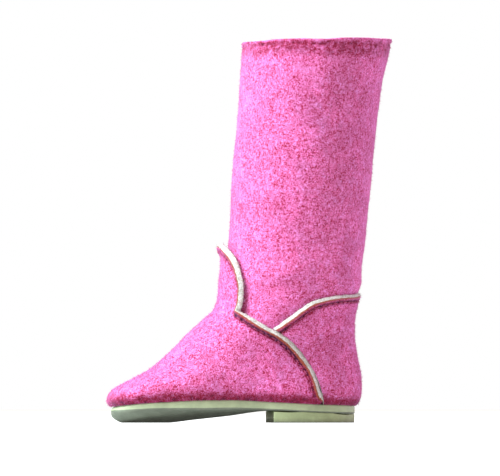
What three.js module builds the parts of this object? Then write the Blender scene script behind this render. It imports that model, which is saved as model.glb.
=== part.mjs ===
// A doll's tall winter boot for the right foot, in millimetres.
// +X points to the toe, +Y to the inner side of the foot, +Z up; it stands on z = 0.
// The origin is on the floor under the middle of the whole boot.
//
// One hollow pile-lined upper stands on a thin cupped sole with a low heel lift. Two thick
// panels are lapped over it, a vamp with a tongue-shaped top and a heel counter, and their
// cut edges stand off where they end. In the tables x is the place along the boot, from
// the back of the ankle, and y is the distance from its middle plane.

import * as THREE from "three";

// Driving dimensions.
const COLLAR_HEIGHT = 117;
const COLLAR_REAR_RISE = 0.9;
const COLLAR_SHAPED_FROM = 90;
const SOLE_SHAPE_FADES_AT = 22;
const WALL = 2.1;
const INSTEP_DROP = 1.5;
const INSTEP = { from: 11, fades: 33, ends: 48 };
const PANEL_THICKNESS = 1.35;
const COUNTER_THICKNESS = 1.05;
const PANEL_GAP = 0.42;
const GAP = 0.3;
const INSOLE_THICKNESS = 1.5;
const SEAM_ALLOWANCE = 3.0;
const HEEL_BREAST = 27.8;
const EDGE_ROUNDING = 0.45;

// The right foot's curve: the toe leans inwards, its inner corner reaches further, and the
// inner side is nipped in under the arch.
const TOE_BEND = 2.0;
const TOE_SKEW = 1.6;
const BEND_STARTS_AT = 32;
const BEND_LENGTH = 44;
const ARCH_NIP = 1.2;
const ARCH_PLACE = 35;
const ARCH_SPREAD = 11;

// Horizontal sections of the upper's outer face. Front and back are places along the boot,
// middle is where the section is widest, half is half its width, and toe and heel are the
// exponents of its front and back half-ellipses: 2 is an ellipse, more is squarer.
const SECTIONS = [
  { z: 6.5, front: 75.2, back: 2.7, middle: 49, half: 17.5, toe: 2.5, heel: 2.9 },
  { z: 8.3, front: 76.1, back: 1.7, middle: 49, half: 18.3, toe: 2.5, heel: 2.9 },
  { z: 9.5, front: 75.2, back: 1.4, middle: 48.5, half: 18.5, toe: 2.5, heel: 2.85 },
  { z: 10.7, front: 72.8, back: 1.2, middle: 48, half: 18.5, toe: 2.45, heel: 2.8 },
  { z: 12.7, front: 67.9, back: 1.1, middle: 46, half: 18.3, toe: 2.4, heel: 2.7 },
  { z: 14.5, front: 64.3, back: 1.2, middle: 43.5, half: 18.0, toe: 2.35, heel: 2.6 },
  { z: 17, front: 60.9, back: 1.6, middle: 40, half: 17.6, toe: 2.3, heel: 2.5 },
  { z: 21.4, front: 56.4, back: 2.4, middle: 35, half: 17.4, toe: 2.25, heel: 2.35 },
  { z: 26.7, front: 51.1, back: 3.0, middle: 29.5, half: 17.6, toe: 2.2, heel: 2.25 },
  { z: 30, front: 47.4, back: 3.0, middle: 26, half: 18.1, toe: 2.15, heel: 2.15 },
  { z: 33.5, front: 43.7, back: 2.7, middle: 23, half: 18.8, toe: 2.1, heel: 2.1 },
  { z: 38, front: 42.1, back: 1.6, middle: 21.5, half: 19.6, toe: 2.05, heel: 2.05 },
  { z: 43, front: 41.6, back: 0.1, middle: 20.7, half: 20.2, toe: 2, heel: 2 },
  { z: 54, front: 40.5, back: -1.2, middle: 19.7, half: 20.8, toe: 2, heel: 2 },
  { z: 72, front: 39.5, back: -3.0, middle: 18.2, half: 21.9, toe: 2, heel: 2 },
  { z: 92, front: 38.0, back: -5.1, middle: 16.4, half: 22.9, toe: 2, heel: 2 },
  { z: 104, front: 37.2, back: -6.8, middle: 15.2, half: 23.6, toe: 2, heel: 2 },
  { z: 112, front: 36.7, back: -8.7, middle: 14.0, half: 24.2, toe: 2, heel: 2 },
  { z: COLLAR_HEIGHT, front: 36.4, back: -9.7, middle: 13.3, half: 24.6, toe: 2, heel: 2 },
];

// The sole's outline, with the same columns.
const SOLE_OUTLINE = { front: 76.6, back: 2.0, middle: 49, half: 18.7, toe: 2.5, heel: 2.9 };

// The sole's heights: the top of its edge, the bottom of its edge, and the bottom under the
// middle of the foot. Ahead of the heel it is cupped, and below 0 it is trodden flat.
const SOLE_HEIGHTS = [
  { x: 2, top: 5.2, edge: 2.7, keel: 2.7 },
  { x: 14, top: 5.6, edge: 3.1, keel: 3.1 },
  { x: 28, top: 6.3, edge: 3.8, keel: 3.6 },
  { x: 41, top: 6.9, edge: 4.2, keel: 2.0 },
  { x: 51, top: 6.8, edge: 4.0, keel: 0.4 },
  { x: 59, top: 6.4, edge: 3.5, keel: -0.5 },
  { x: 68, top: 5.8, edge: 2.7, keel: -0.5 },
  { x: 73, top: 5.2, edge: 1.8, keel: -0.2 },
  { x: 77, top: 4.7, edge: 1.3, keel: 0.4 },
];

// The vamp's cut edge: up the side from the sole to the notch, then round the tongue, with
// how far the edge stands off there.
const VAMP_SIDE = [
  { x: 13.6, z: 9.0, lift: 0.5 },
  { x: 15.6, z: 14.4, lift: 0.6 },
  { x: 18.7, z: 19.6, lift: 0.7 },
  { x: 22.6, z: 24.3, lift: 0.9 },
  { x: 27.5, z: 28.0, lift: 1.0 },
  { x: 32.6, z: 30.8, lift: 1.1 },
  { x: 36.8, z: 33.2, lift: 2.0 },
];
const VAMP_TONGUE = [
  { y: 14.2, z: 38.0, lift: 1.2 },
  { y: 13.5, z: 44.0, lift: 0.9 },
  { y: 11.0, z: 49.4, lift: 0.9 },
  { y: 6.4, z: 53.2, lift: 1.2 },
  { y: 0, z: 54.6, lift: 1.5 },
];
const VAMP_FOOT_BACK = 13.1;
const NOTCH_FOOT_ANGLE = 50;

// The counter's top edge, from its junction with the vamp round to the middle of the back.
const COUNTER_JUNCTION = { z: 28.2, lift: 0.3 };
const COUNTER_TOP = [
  { x: 22.6, z: 32.2, lift: 0.5 },
  { x: 18.0, z: 35.6, lift: 0.5 },
  { x: 12.4, z: 37.6, lift: 0.4 },
  { x: 6.6, z: 38.4, lift: 0.2 },
];
const COUNTER_BACK = { z: 38.7, lift: 0.25 };
const COUNTER_SETBACK = 0.8;

// Mesh density. Crowding above 1 packs a panel's rows closer towards the sole.
const AROUND = 44;
const RING_HEIGHTS = [
  6.5, 7.3, 8.3, 9.1, 10, 11.2, 12.7, 14.6, 17, 20, 23.5, 27, 30, 32.5, 35.5, 39, 43, 49,
  58, 72, 86, 98, 107, 113, COLLAR_HEIGHT,
];
const VAMP_SIDE_COLUMNS = 8;
const TONGUE_COLUMNS = 10;
const VAMP_ROWS = 19;
const COUNTER_COLUMNS = 20;
const COUNTER_ROWS = 9;
const ROW_CROWDING = 1.5;
const SOLE_STATIONS = 26;
const SOLE_SHARES = [1, 0.78, 0.56, 0.34, 0.12];
const END_ANGLE = 7;

const rad = THREE.MathUtils.degToRad;
const fade = (from, to, v) => 1 - THREE.MathUtils.smoothstep(v, from, to);
const mix = THREE.MathUtils.lerp;
const steps = (count) => Array.from({ length: count + 1 }, (_, i) => i / count);

// A smooth curve through one column of a table that never overshoots its rows.
function curveOf(rows, across, column) {
  const x = rows.map((row) => row[across]);
  const y = rows.map((row) => row[column]);
  const step = y.slice(1).map((v, i) => (v - y[i]) / (x[i + 1] - x[i]));
  const slope = y.map((_, i) => {
    if (i === 0) return step[0];
    if (i === step.length) return step[i - 1];
    const product = step[i - 1] * step[i];
    return product <= 0 ? 0 : (2 * product) / (step[i - 1] + step[i]);
  });
  return (v) => {
    const at = THREE.MathUtils.clamp(v, x[0], x.at(-1));
    let i = 0;
    while (i < step.length - 1 && at > x[i + 1]) i++;
    const h = x[i + 1] - x[i];
    const t = (at - x[i]) / h;
    const u = 1 - t;
    const start = u * u * (y[i] * (1 + 2 * t) + slope[i] * h * t);
    return start + t * t * (y[i + 1] * (1 + 2 * u) - slope[i + 1] * h * u);
  };
}

function curvesOf(rows, across, columns) {
  const curves = columns.map((column) => [column, curveOf(rows, across, column)]);
  return (v) => Object.fromEntries(curves.map(([column, curve]) => [column, curve(v)]));
}

const sectionAt = curvesOf(SECTIONS, "z", ["front", "back", "middle", "half", "toe", "heel"]);
const soleAt = curvesOf(SOLE_HEIGHTS, "x", ["top", "edge", "keel"]);
const FEATHER = SECTIONS[0].z;

// An outline's point at an angle from the toe, drawn in by inset.
function outlinePoint(outline, theta, inset) {
  const c = Math.cos(theta);
  const s = Math.sin(theta);
  const reach = c > 0 ? outline.front - outline.middle : outline.middle - outline.back;
  const power = 2 / (c > 0 ? outline.toe : outline.heel);
  return {
    x: outline.middle + Math.sign(c) * (reach - inset) * Math.abs(c) ** power,
    y: Math.sign(s) * (outline.half - inset) * Math.abs(s) ** power,
  };
}

// The angle on a section of a place along the boot, or of a distance off its middle plane.
function angleAlong(x, z) {
  const { front, back, middle, toe, heel } = sectionAt(z);
  const reach = x > middle ? front - middle : middle - back;
  const power = (x > middle ? toe : heel) / 2;
  const share = Math.min(1, Math.abs(x - middle) / reach) ** power;
  return Math.acos(x > middle ? share : -share);
}
function angleAcross(y, z) {
  const { half, toe } = sectionAt(z);
  return Math.asin(Math.min(1, y / half) ** (toe / 2));
}

// Bends a straight symmetrical shape into the right foot's curve.
function rightFoot(x, y, z) {
  const ahead = Math.max(0, (x - BEND_STARTS_AT) / BEND_LENGTH) ** 2;
  const inner = y / SOLE_OUTLINE.half;
  const arch = ARCH_NIP * Math.exp(-(((x - ARCH_PLACE) / ARCH_SPREAD) ** 2));
  const nip = arch * Math.max(0, inner) * fade(FEATHER, SOLE_SHAPE_FADES_AT, z);
  return new THREE.Vector3(x + TOE_SKEW * inner * ahead, y + TOE_BEND * ahead - nip, z);
}

// A section's height follows the sole's edge at the bottom and rises rearwards at the top.
function settledHeight(x, z) {
  const { front, back, middle } = sectionAt(z);
  const onSole = (soleAt(x).top + GAP - FEATHER) * fade(FEATHER, SOLE_SHAPE_FADES_AT, z);
  const rearwards = (middle - x) / (front - back);
  const collar = 1 - fade(COLLAR_SHAPED_FROM, COLLAR_HEIGHT, z);
  return z + onSole + COLLAR_REAR_RISE * rearwards * collar;
}

// The upper's outer face, by angle and height.
function face(theta, z) {
  const { x, y } = outlinePoint(sectionAt(z), theta, 0);
  return rightFoot(x, y, settledHeight(x, z));
}

// The upper's inner face, drawn in by the wall, and lower where the outer face slopes.
function innerFace(theta, z) {
  const sloping = (1 - fade(FEATHER, INSTEP.from, z)) * fade(INSTEP.fades, INSTEP.ends, z);
  const { x, y } = outlinePoint(sectionAt(z + INSTEP_DROP * sloping), theta, WALL);
  return rightFoot(x, y, settledHeight(x, z));
}

// A point standing off the outer face, and no lower than the face itself.
function standOff(theta, z, distance) {
  const d = 0.01;
  const along = face(theta + d, z).sub(face(theta - d, z));
  const up = face(theta, z + d).sub(face(theta, Math.max(FEATHER, z - d)));
  const normal = along.cross(up);
  normal.z = Math.max(0, normal.z);
  return face(theta, z).addScaledVector(normal.normalize(), distance);
}

// A closed solid between two grids of points. Rows run up and columns anticlockwise seen
// from outside; a ring's last column meets its first, an open patch gets walls all round.
function solidBetween(outer, inner, ring) {
  const rows = outer.length;
  const columns = outer[0].length;
  const spans = ring ? columns : columns - 1;
  const triangles = [];
  const at = (side, r, c) => (side * rows + r) * columns + (c % columns);
  const quad = (a, b, c, d) => triangles.push(a, b, c, a, c, d);
  for (let c = 0; c < spans; c++) {
    for (let r = 0; r < rows - 1; r++) {
      quad(at(0, r, c), at(0, r, c + 1), at(0, r + 1, c + 1), at(0, r + 1, c));
      quad(at(1, r, c + 1), at(1, r, c), at(1, r + 1, c), at(1, r + 1, c + 1));
    }
    const top = rows - 1;
    quad(at(0, 0, c + 1), at(0, 0, c), at(1, 0, c), at(1, 0, c + 1));
    quad(at(0, top, c), at(0, top, c + 1), at(1, top, c + 1), at(1, top, c));
  }
  if (!ring)
    for (let r = 0; r < rows - 1; r++) {
      quad(at(0, r, 0), at(0, r + 1, 0), at(1, r + 1, 0), at(1, r, 0));
      quad(at(0, r + 1, spans), at(0, r, spans), at(1, r, spans), at(1, r + 1, spans));
    }
  const geometry = new THREE.BufferGeometry().setFromPoints([...outer.flat(), ...inner.flat()]);
  geometry.setIndex(triangles);
  geometry.computeVertexNormals();
  return geometry;
}

function named(name, geometry, color, roughness) {
  const made = new THREE.Mesh(geometry, new THREE.MeshStandardMaterial({ color, roughness }));
  made.name = name;
  return made;
}

// The hollow upper, foot and shaft in one, open at the collar and underneath.
function upper() {
  const angles = steps(AROUND).slice(0, -1).map((share) => 2 * Math.PI * share);
  const outer = RING_HEIGHTS.map((z) => angles.map((angle) => face(angle, z)));
  const inner = RING_HEIGHTS.map((z) => angles.map((angle) => innerFace(angle, z)));
  return solidBetween(outer, inner, true);
}

// A seam on the outer face: a smooth curve through points of angle, height and lift.
function seamThrough(points) {
  const radius = sectionAt(COLLAR_HEIGHT).half;
  const curve = new THREE.CatmullRomCurve3(
    points.map((p) => new THREE.Vector3(p.theta * radius, p.z, p.lift)),
    false,
    "centripetal",
  );
  return (share) => {
    const p = curve.getPoint(share);
    return { theta: p.x / radius, z: p.y, lift: p.z };
  };
}

// Places up a column from the sole to the seam, closer together towards the sole, with one
// row along the stitching, a seam allowance short of the cut edge.
function columnUp(path, rows) {
  const fine = steps(90).map(path);
  const lengths = [0];
  for (let i = 1; i < fine.length; i++) {
    const from = face(fine[i - 1].theta, fine[i - 1].z);
    lengths.push(lengths[i - 1] + from.distanceTo(face(fine[i].theta, fine[i].z)));
  }
  const total = lengths.at(-1);
  const stitching = total - Math.min(SEAM_ALLOWANCE, total / 2);
  const wanted = steps(rows - 2).map((share) => stitching * share ** ROW_CROWDING);
  return [...wanted, total].map((length) => {
    const i = Math.max(1, lengths.findIndex((reached) => reached >= length - 1e-9));
    const within = (length - lengths[i - 1]) / (lengths[i] - lengths[i - 1]);
    return { ...path((i - 1 + within) / (fine.length - 1)), atEdge: length === total };
  });
}

// A lapped panel over the outer face, given by its columns from the sole to the cut edge.
function panel(columns, thickness) {
  const grid = (distance) =>
    columns[0].map((_, r) =>
      columns.map((column) => {
        const { theta, z, lift, atEdge } = column[r];
        return standOff(theta, z, PANEL_GAP + distance + (atEdge ? lift : 0));
      }),
    );
  return solidBetween(grid(thickness), grid(0), false);
}

// The vamp, from the sole up to its cut edge: side, tongue, and the same mirrored.
function vamp() {
  const side = VAMP_SIDE.map((row) => ({ ...row, theta: angleAlong(row.x, row.z) }));
  const tongue = VAMP_TONGUE.map((row) => ({ ...row, theta: angleAcross(row.y, row.z) }));
  const beyond = { ...tongue.at(-2), theta: -tongue.at(-2).theta };
  const sideSeam = seamThrough(side);
  const tongueSeam = seamThrough([side.at(-1), ...tongue, beyond]);
  const apex = tongue.length / (tongue.length + 1);
  const back = angleAlong(VAMP_FOOT_BACK, FEATHER);
  const notch = rad(NOTCH_FOOT_ANGLE);
  const half = [
    ...steps(VAMP_SIDE_COLUMNS).map((t) => ({ foot: mix(back, notch, t), head: sideSeam(t) })),
    ...steps(TONGUE_COLUMNS)
      .slice(1)
      .map((t) => ({ foot: notch * (1 - t), head: tongueSeam(t * apex) })),
  ];
  half.at(-1).head.theta = 0;
  const mirrored = half.slice(0, -1).map(({ foot, head }) => ({
    foot: -foot,
    head: { ...head, theta: -head.theta },
  }));
  const columns = [...mirrored, ...half.reverse()].map(({ foot, head }) =>
    columnUp(
      (t) => ({ theta: mix(foot, head.theta, t), z: mix(FEATHER, head.z, t), lift: head.lift }),
      VAMP_ROWS,
    ),
  );
  return panel(columns, PANEL_THICKNESS);
}

// The counter: its ends follow the vamp's edge, a little behind it, up to the junction.
function heelCounter() {
  const vampEdge = curveOf([{ x: VAMP_FOOT_BACK, z: FEATHER }, ...VAMP_SIDE], "z", "x");
  const end = (z) => angleAlong(vampEdge(z) - COUNTER_SETBACK, z);
  const junction = { ...COUNTER_JUNCTION, theta: end(COUNTER_JUNCTION.z) };
  const rising = COUNTER_TOP.map((row) => ({ ...row, theta: angleAlong(row.x, row.z) }));
  const back = { ...COUNTER_BACK, theta: Math.PI };
  const beyond = { ...rising.at(-1), theta: 2 * Math.PI - rising.at(-1).theta };
  const topSeam = seamThrough([junction, ...rising, back, beyond]);
  const middle = (rising.length + 1) / (rising.length + 2);
  const foot = end(FEATHER);
  const half = steps(COUNTER_COLUMNS / 2).map((q) => {
    const head = topSeam(q * middle);
    if (q === 1) head.theta = Math.PI;
    return columnUp((t) => {
      const bulge = end(mix(FEATHER, junction.z, t)) - mix(foot, junction.theta, t);
      const straight = mix(mix(foot, Math.PI, q), head.theta, t);
      return { theta: straight + bulge * (1 - q), z: mix(FEATHER, head.z, t), lift: head.lift };
    }, COUNTER_ROWS);
  });
  const mirrored = half
    .slice(0, -1)
    .reverse()
    .map((column) => column.map((p) => ({ ...p, theta: 2 * Math.PI - p.theta })));
  return panel([...half, ...mirrored], COUNTER_THICKNESS);
}

// A slab from one angle of an outline to another, between two heights given by the place
// along the boot and the share of the way out to the edge, with its rim rounded off.
function slab(outline, inset, angles, heights, rounding) {
  const shares = [...SOLE_SHARES, ...SOLE_SHARES.toReversed().map((share) => -share)];
  const inside = shares.map((share) => ({ share, rim: false }));
  const rows = [{ share: 1, rim: true }, ...inside, { share: -1, rim: true }];
  const stations = angles.map((theta) => outlinePoint(outline, theta, inset));
  const grid = (height, side) =>
    rows.map(({ share, rim }) =>
      stations.map(({ x, y }, c) => {
        const rounded = rim || c === 0 || c === stations.length - 1;
        const z = height(x, share) - (rounded ? side * rounding : 0);
        return rightFoot(x, share * (rim ? y : y - EDGE_ROUNDING), z);
      }),
    );
  return solidBetween(grid(heights.top, 1), grid(heights.bottom, -1), false);
}

const endToEnd = steps(SOLE_STATIONS).map((t) => mix(rad(END_ANGLE), rad(180 - END_ANGLE), t));
const soleTop = (x) => soleAt(x).top;
const soleBottom = (x, share) => Math.max(0, mix(soleAt(x).keel, soleAt(x).edge, share * share));

function outsole() {
  return slab(SOLE_OUTLINE, 0, endToEnd, { top: soleTop, bottom: soleBottom }, EDGE_ROUNDING);
}

// The heel lift ends in a straight breast across the boot.
function heelLift() {
  const { middle, back, heel } = SOLE_OUTLINE;
  const breast = Math.acos(-(((middle - HEEL_BREAST) / (middle - back)) ** (heel / 2)));
  const angles = steps(SOLE_STATIONS / 2).map((t) => mix(breast, rad(180 - END_ANGLE), t));
  const top = (x, share) => soleBottom(x, share) - GAP;
  return slab(SOLE_OUTLINE, 0, angles, { top, bottom: () => 0 }, 0);
}

// The insole lies on the sole, just inside the upper's wall.
function insole() {
  const bottom = (x) => soleTop(x) + GAP;
  const top = (x) => bottom(x) + INSOLE_THICKNESS;
  return slab(sectionAt(FEATHER), WALL + GAP, endToEnd, { top, bottom }, EDGE_ROUNDING / 2);
}

const boot = new THREE.Group();
boot.add(named("outsole", outsole(), "#b9c4a2", 0.6));
boot.add(named("heel_lift", heelLift(), "#b3bd9b", 0.6));
boot.add(named("insole", insole(), "#d8d6c8", 0.9));
boot.add(named("upper", upper(), "#e070b4", 0.95));
boot.add(named("vamp", vamp(), "#ec7cc0", 0.95));
boot.add(named("heel_counter", heelCounter(), "#d0649f", 0.95));
const middle = new THREE.Box3().setFromObject(boot).getCenter(new THREE.Vector3());
boot.position.set(-middle.x, -middle.y, 0);
boot.updateMatrixWorld(true);

export default boot;
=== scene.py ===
import math

import bpy
import numpy as np
from mathutils import Matrix, Vector


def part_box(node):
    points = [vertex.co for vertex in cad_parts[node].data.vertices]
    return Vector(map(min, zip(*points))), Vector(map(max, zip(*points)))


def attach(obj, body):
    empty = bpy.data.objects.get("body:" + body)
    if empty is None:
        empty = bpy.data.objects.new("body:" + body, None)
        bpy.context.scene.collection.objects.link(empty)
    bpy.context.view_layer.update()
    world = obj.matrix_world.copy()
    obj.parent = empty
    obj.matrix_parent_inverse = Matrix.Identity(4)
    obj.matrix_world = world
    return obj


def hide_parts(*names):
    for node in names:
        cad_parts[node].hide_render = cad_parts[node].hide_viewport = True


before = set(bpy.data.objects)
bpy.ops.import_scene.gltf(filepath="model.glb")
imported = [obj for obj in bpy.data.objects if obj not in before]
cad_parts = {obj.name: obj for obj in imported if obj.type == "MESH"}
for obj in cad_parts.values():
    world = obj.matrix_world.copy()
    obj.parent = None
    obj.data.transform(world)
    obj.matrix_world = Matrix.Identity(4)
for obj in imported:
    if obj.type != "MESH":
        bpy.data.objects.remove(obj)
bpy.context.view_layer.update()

bl_info = {
    "name": "Doll's Winter Boot",
    "version": (1, 0, 0),
    "blender": (4, 5, 0),
    "location": "3D View > Sidebar > Boot",
    "description": "Dresses the packed solids of a fleece-lined doll's boot in cloth, pile and thread",
    "category": "Add Mesh",
}

# Boot coordinates are millimetres: x from the back of the ankle towards the toe, y from the
# middle plane towards the inner side, z up from the floor.


def table(names, *rows):
    """A short table as a dict from each column's name to its values."""
    return dict(zip(names.split(), np.array(rows, float).T))


# The upper's outer face in horizontal sections. Middle is where a section is widest, half is
# half its width, toe and heel are the exponents of its front and back half-ellipses.
SECTIONS = table(
    "z front back middle half toe heel",
    (6.5, 75.2, 2.7, 49, 17.5, 2.5, 2.9),
    (8.3, 76.1, 1.7, 49, 18.3, 2.5, 2.9),
    (9.5, 75.2, 1.4, 48.5, 18.5, 2.5, 2.85),
    (10.7, 72.8, 1.2, 48, 18.5, 2.45, 2.8),
    (12.7, 67.9, 1.1, 46, 18.3, 2.4, 2.7),
    (14.5, 64.3, 1.2, 43.5, 18.0, 2.35, 2.6),
    (17, 60.9, 1.6, 40, 17.6, 2.3, 2.5),
    (21.4, 56.4, 2.4, 35, 17.4, 2.25, 2.35),
    (26.7, 51.1, 3.0, 29.5, 17.6, 2.2, 2.25),
    (30, 47.4, 3.0, 26, 18.1, 2.15, 2.15),
    (33.5, 43.7, 2.7, 23, 18.8, 2.1, 2.1),
    (38, 42.1, 1.6, 21.5, 19.6, 2.05, 2.05),
    (43, 41.6, 0.1, 20.7, 20.2, 2, 2),
    (54, 40.5, -1.2, 19.7, 20.8, 2, 2),
    (72, 39.5, -3.0, 18.2, 21.9, 2, 2),
    (92, 38.0, -5.1, 16.4, 22.9, 2, 2),
    (104, 37.2, -6.8, 15.2, 23.6, 2, 2),
    (112, 36.7, -8.7, 14.0, 24.2, 2, 2),
    (117, 36.4, -9.7, 13.3, 24.6, 2, 2),
)
SOLE_OUTLINE = {"front": 76.6, "back": 2.0, "middle": 49, "half": 18.7, "toe": 2.5, "heel": 2.9}

# The sole: the top and bottom of its edge, and its bottom under the middle of the foot.
SOLE_HEIGHTS = table(
    "x top edge keel",
    (2, 5.2, 2.7, 2.7),
    (14, 5.6, 3.1, 3.1),
    (28, 6.3, 3.8, 3.6),
    (41, 6.9, 4.2, 2.0),
    (51, 6.8, 4.0, 0.9),
    (59, 6.4, 3.5, 0.0),
    (68, 5.8, 2.7, -0.3),
    (73, 5.2, 1.8, -0.2),
    (77, 4.7, 1.3, 0.4),
)

# The vamp's cut edge up the side, then round the tongue, and the counter's top edge, each
# with how far the edge stands off.
VAMP_SIDE = table(
    "x z lift",
    (13.1, 6.5, 0.3),
    (13.6, 9.0, 0.5),
    (15.6, 14.4, 0.6),
    (18.7, 19.6, 0.7),
    (22.6, 24.3, 0.9),
    (27.5, 28.0, 1.0),
    (32.6, 30.8, 1.1),
    (36.8, 33.2, 2.0),
)
VAMP_TONGUE = table(
    "y z lift",
    (14.2, 38.0, 1.2),
    (13.5, 44.0, 0.9),
    (11.0, 49.4, 0.9),
    (6.4, 53.2, 1.2),
    (0, 54.6, 1.5),
)
NOTCH_FOOT_ANGLE = math.radians(50)
COUNTER_TOP = table("x z lift", (22.6, 32.6, 0.5), (18.0, 36.1, 0.5), (12.4, 38.1, 0.4), (6.6, 39.0, 0.2))
COUNTER_JUNCTION = {"z": 28.6, "lift": 0.3}
COUNTER_BACK = {"z": 39.4, "lift": 0.15}
COUNTER_SETBACK = 0.25

# Soft folds: where (degrees round from the toe, height), how long and wide in millimetres,
# how far turned from level, and how deep; a ridge is above 0.
FOLDS = table(
    "round height length width turn depth",
    (78, 41, 13, 3.0, 8, -0.42),
    (82, 46, 13, 3.6, 6, 0.26),
    (-78, 41, 13, 3.0, 8, -0.42),
    (-82, 46, 12, 3.6, 6, 0.26),
    (180, 42, 15, 3.0, 0, 0.38),
    (180, 48.5, 15, 3.8, 0, -0.34),
    (118, 61, 22, 8.0, 42, -0.25),
    (62, 78, 20, 9.0, -38, -0.22),
    (140, 92, 22, 8.0, 70, -0.38),
    (95, 100, 16, 7.0, 52, 0.13),
    (-60, 66, 22, 7.0, 60, -0.40),
    (-125, 84, 24, 8.0, -64, -0.42),
    (-30, 98, 16, 7.0, 75, -0.30),
    (20, 88, 20, 7.0, 84, 0.22),
    (14, 24, 10, 5.0, 80, -0.30),
    (-14, 24, 10, 5.0, 80, -0.30),
    (62, 17, 12, 4.0, 20, -0.28),
    (-62, 17, 12, 4.0, 20, -0.28),
    (150, 22, 9, 4.5, 30, -0.28),
    (-150, 22, 9, 4.5, 30, -0.28),
)
FOLD_RADIUS = 21.0

# How the sections settle: at the collar, which rises rearwards, and near the sole, from the
# upper's lower edge or feather up to where the sole's shape fades.
COLLAR_HEIGHT = 117
COLLAR_REAR_RISE = 0.9
COLLAR_SHAPED_FROM = 90
FEATHER = 6.5
SOLE_SHAPE_FADES_AT = 22

# The right foot's curve: the toe's bend and skew inwards, and the nip under the arch.
TOE_BEND = 2.0
TOE_SKEW = 1.6
BEND_STARTS_AT = 32
BEND_LENGTH = 44
ARCH_NIP = 1.2
ARCH_PLACE = 35
ARCH_SPREAD = 11

# The wall of cloth and pile, how far its inside drops over the instep, the heel lift's front
# face, and the gaps between the upper and the sole and between the upper and a lapped panel.
WALL = 2.1
INSTEP_DROP = 1.5
HEEL_BREAST = 27.8
GAP = 0.3
PANEL_GAP = 0.42
MM_PER_METRE = 1000.0

# The lapped panels' edges. The allowance lies between the sewn line and the cut. It is at most
# a share of a panel's height, the bevel is at most a share of it, and the relief is full from
# a height up. The vamp's lower corner is cut off by a share of its side.
SEAM_ALLOWANCE = 2.5
ALLOWANCE_SHARE = 0.5
BEVEL_SHARE = 0.66
FULL_RELIEF_FROM = 6
CORNER_CUT = 0.06

# A panel's rows past the body, and the numbers of its parts.
RIDGE_ROWS, CUT_ROWS, INSIDE_ROWS = 14, 7, 21
BODY, CUT, INSIDE = 0, 1, 2

# The slabs: how near one side's outline comes to the middle plane, shares of the way across
# that crowd to both rims, and how far the rim is rounded at the toe.
SLAB_ENDS = math.radians(1.2)
SLAB_SHARES = np.sin(math.pi / 2 * np.linspace(1, -1, 90))
TOE_ROUNDING = 1.3

# Points round and rows, the lining's tufts, how many round and how far apart upwards, and the
# insole's thickness and how far apart its tufts are.
SHAFT_GRID = (300, 190)
LINING_GRID = (224, 176)
PILE_CELLS_ROUND = 34
PILE_CELL_HEIGHT = 3.7
INSOLE_THICKNESS = 1.5
INSOLE_CELL = 3.6

# Stitches, and fibres: how deep their roots sit, how many on the vamp's and the counter's cut,
# how even their lengths are, and how the nap is shared out.
STITCHES_FROM_END = 4.0
STITCH_LENGTH, STITCH_RADIUS, STITCH_LIFT = 1.5, 0.17, 0.2
STITCH_SIDES, STITCH_RINGS = 7, 8
ROOT_DEPTH = 0.05
CUT_EDGE_FIBRES = (1500, 650)
WOOL_FIBRES = 24000
LENGTH_EVENNESS = 6.0
NAP_SHARES = {"shaft": 0.49, "vamp": 0.365, "counter": 0.145}
FIBRE_SEED, NAP_SEED, WOOL_SEED = 77, 91, 92

# Linear colours of the details. A tone multiplies another colour.
SPECK_TONE = (0.8, 0.6, 0.7)
# Painted shade along the sewn lines and over the sole: crimson, and navy where deepest.
PAINTED_SHADE_CRIMSON = (0.24, 0.012, 0.04)
PAINTED_SHADOW_NAVY = (0.03, 0.003, 0.022)
RUST = (0.34, 0.085, 0.035)
SUEDE_SHEEN = (0.95, 0.5, 1.0)
BACKING_GREY, BACKING_PALE, BACKING_PINK = (0.52, 0.45, 0.42), (0.80, 0.80, 0.80), (0.72, 0.42, 0.44)
# Painted shade in the pile: grey down between its tufts, and a darker tone in its hollows.
PILE_SHADE_GREY, PILE_CREAM, HOLLOW_SHADE_TONE = (0.52, 0.52, 0.48), (0.80, 0.83, 0.78), (0.72, 0.69, 0.66)
THREAD_DARK, THREAD_LIGHT = (0.34, 0.03, 0.10), (0.62, 0.09, 0.24)
LIFT_TONE = (0.86, 0.85, 0.74)
UNDERSIDE_LIGHT, UNDERSIDE_DARK = (0.25, 0.285, 0.225), (0.18, 0.205, 0.16)
SOLE_GRIME = (0.16, 0.165, 0.13)
FLOOR_DARK, FLOOR_LIGHT = (0.43, 0.43, 0.43), (0.47, 0.47, 0.47)
SURROUND_LIGHT = (1, 0.80, 0.63)

# How fine the noise of each cloth and of the sole is, in cells to a metre.
SUEDE_GRAINS = {"shaft": 2600.0, "vamp": 2450.0, "counter": 2550.0}
SOLE_GRAIN, UNDERSIDE_GRAIN = 1700.0, 1300.0

# The stage, in metres: each light's place, size, share of the key's power and colour, and the
# camera, which sees the picture's width at its distance.
FLOOR_REACH = 3.0
FLOOR_GLOW, FLOOR_GLOW_SEEN = 0.13, 0.75
LIGHTS = {
    "key_light": ((1.18, 0.29, 1.38), 1.5, 1.0, (0.85, 0.99, 1)),
    "fill_light": ((0.50, 1.60, 0.22), 0.8, 0.05, (1, 0.87, 0.72)),
    "back_light": ((-1.10, -0.45, 0.55), 0.4, 0.10, (0.86, 0.78, 1.0)),
}
LIGHT_AIM = (0, 0, 0.055)
CAMERA_AIM = (0, 0, 0.0565)
CAMERA_DISTANCE = 3.0
CAMERA_HEIGHT = 0.008
PICTURE_WIDTH = 0.153
SENSOR_WIDTH = 36

ANKLE_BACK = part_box("upper")[0][0] * MM_PER_METRE - SECTIONS["back"][-1]


def millimetres(name):
    """One of the sidebar's sizes, which are metres, in millimetres."""
    return getattr(bpy.context.scene.boot_sizes, name) * MM_PER_METRE


def smooth(low, high, v):
    """0 below low, 1 above high, and an S-curve between."""
    t = np.clip((v - low) / (high - low), 0, 1)
    return t * t * (3 - 2 * t)


def mix(a, b, t):
    """From a, where t is 0, to b, where it is 1."""
    return a + (b - a) * t


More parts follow.
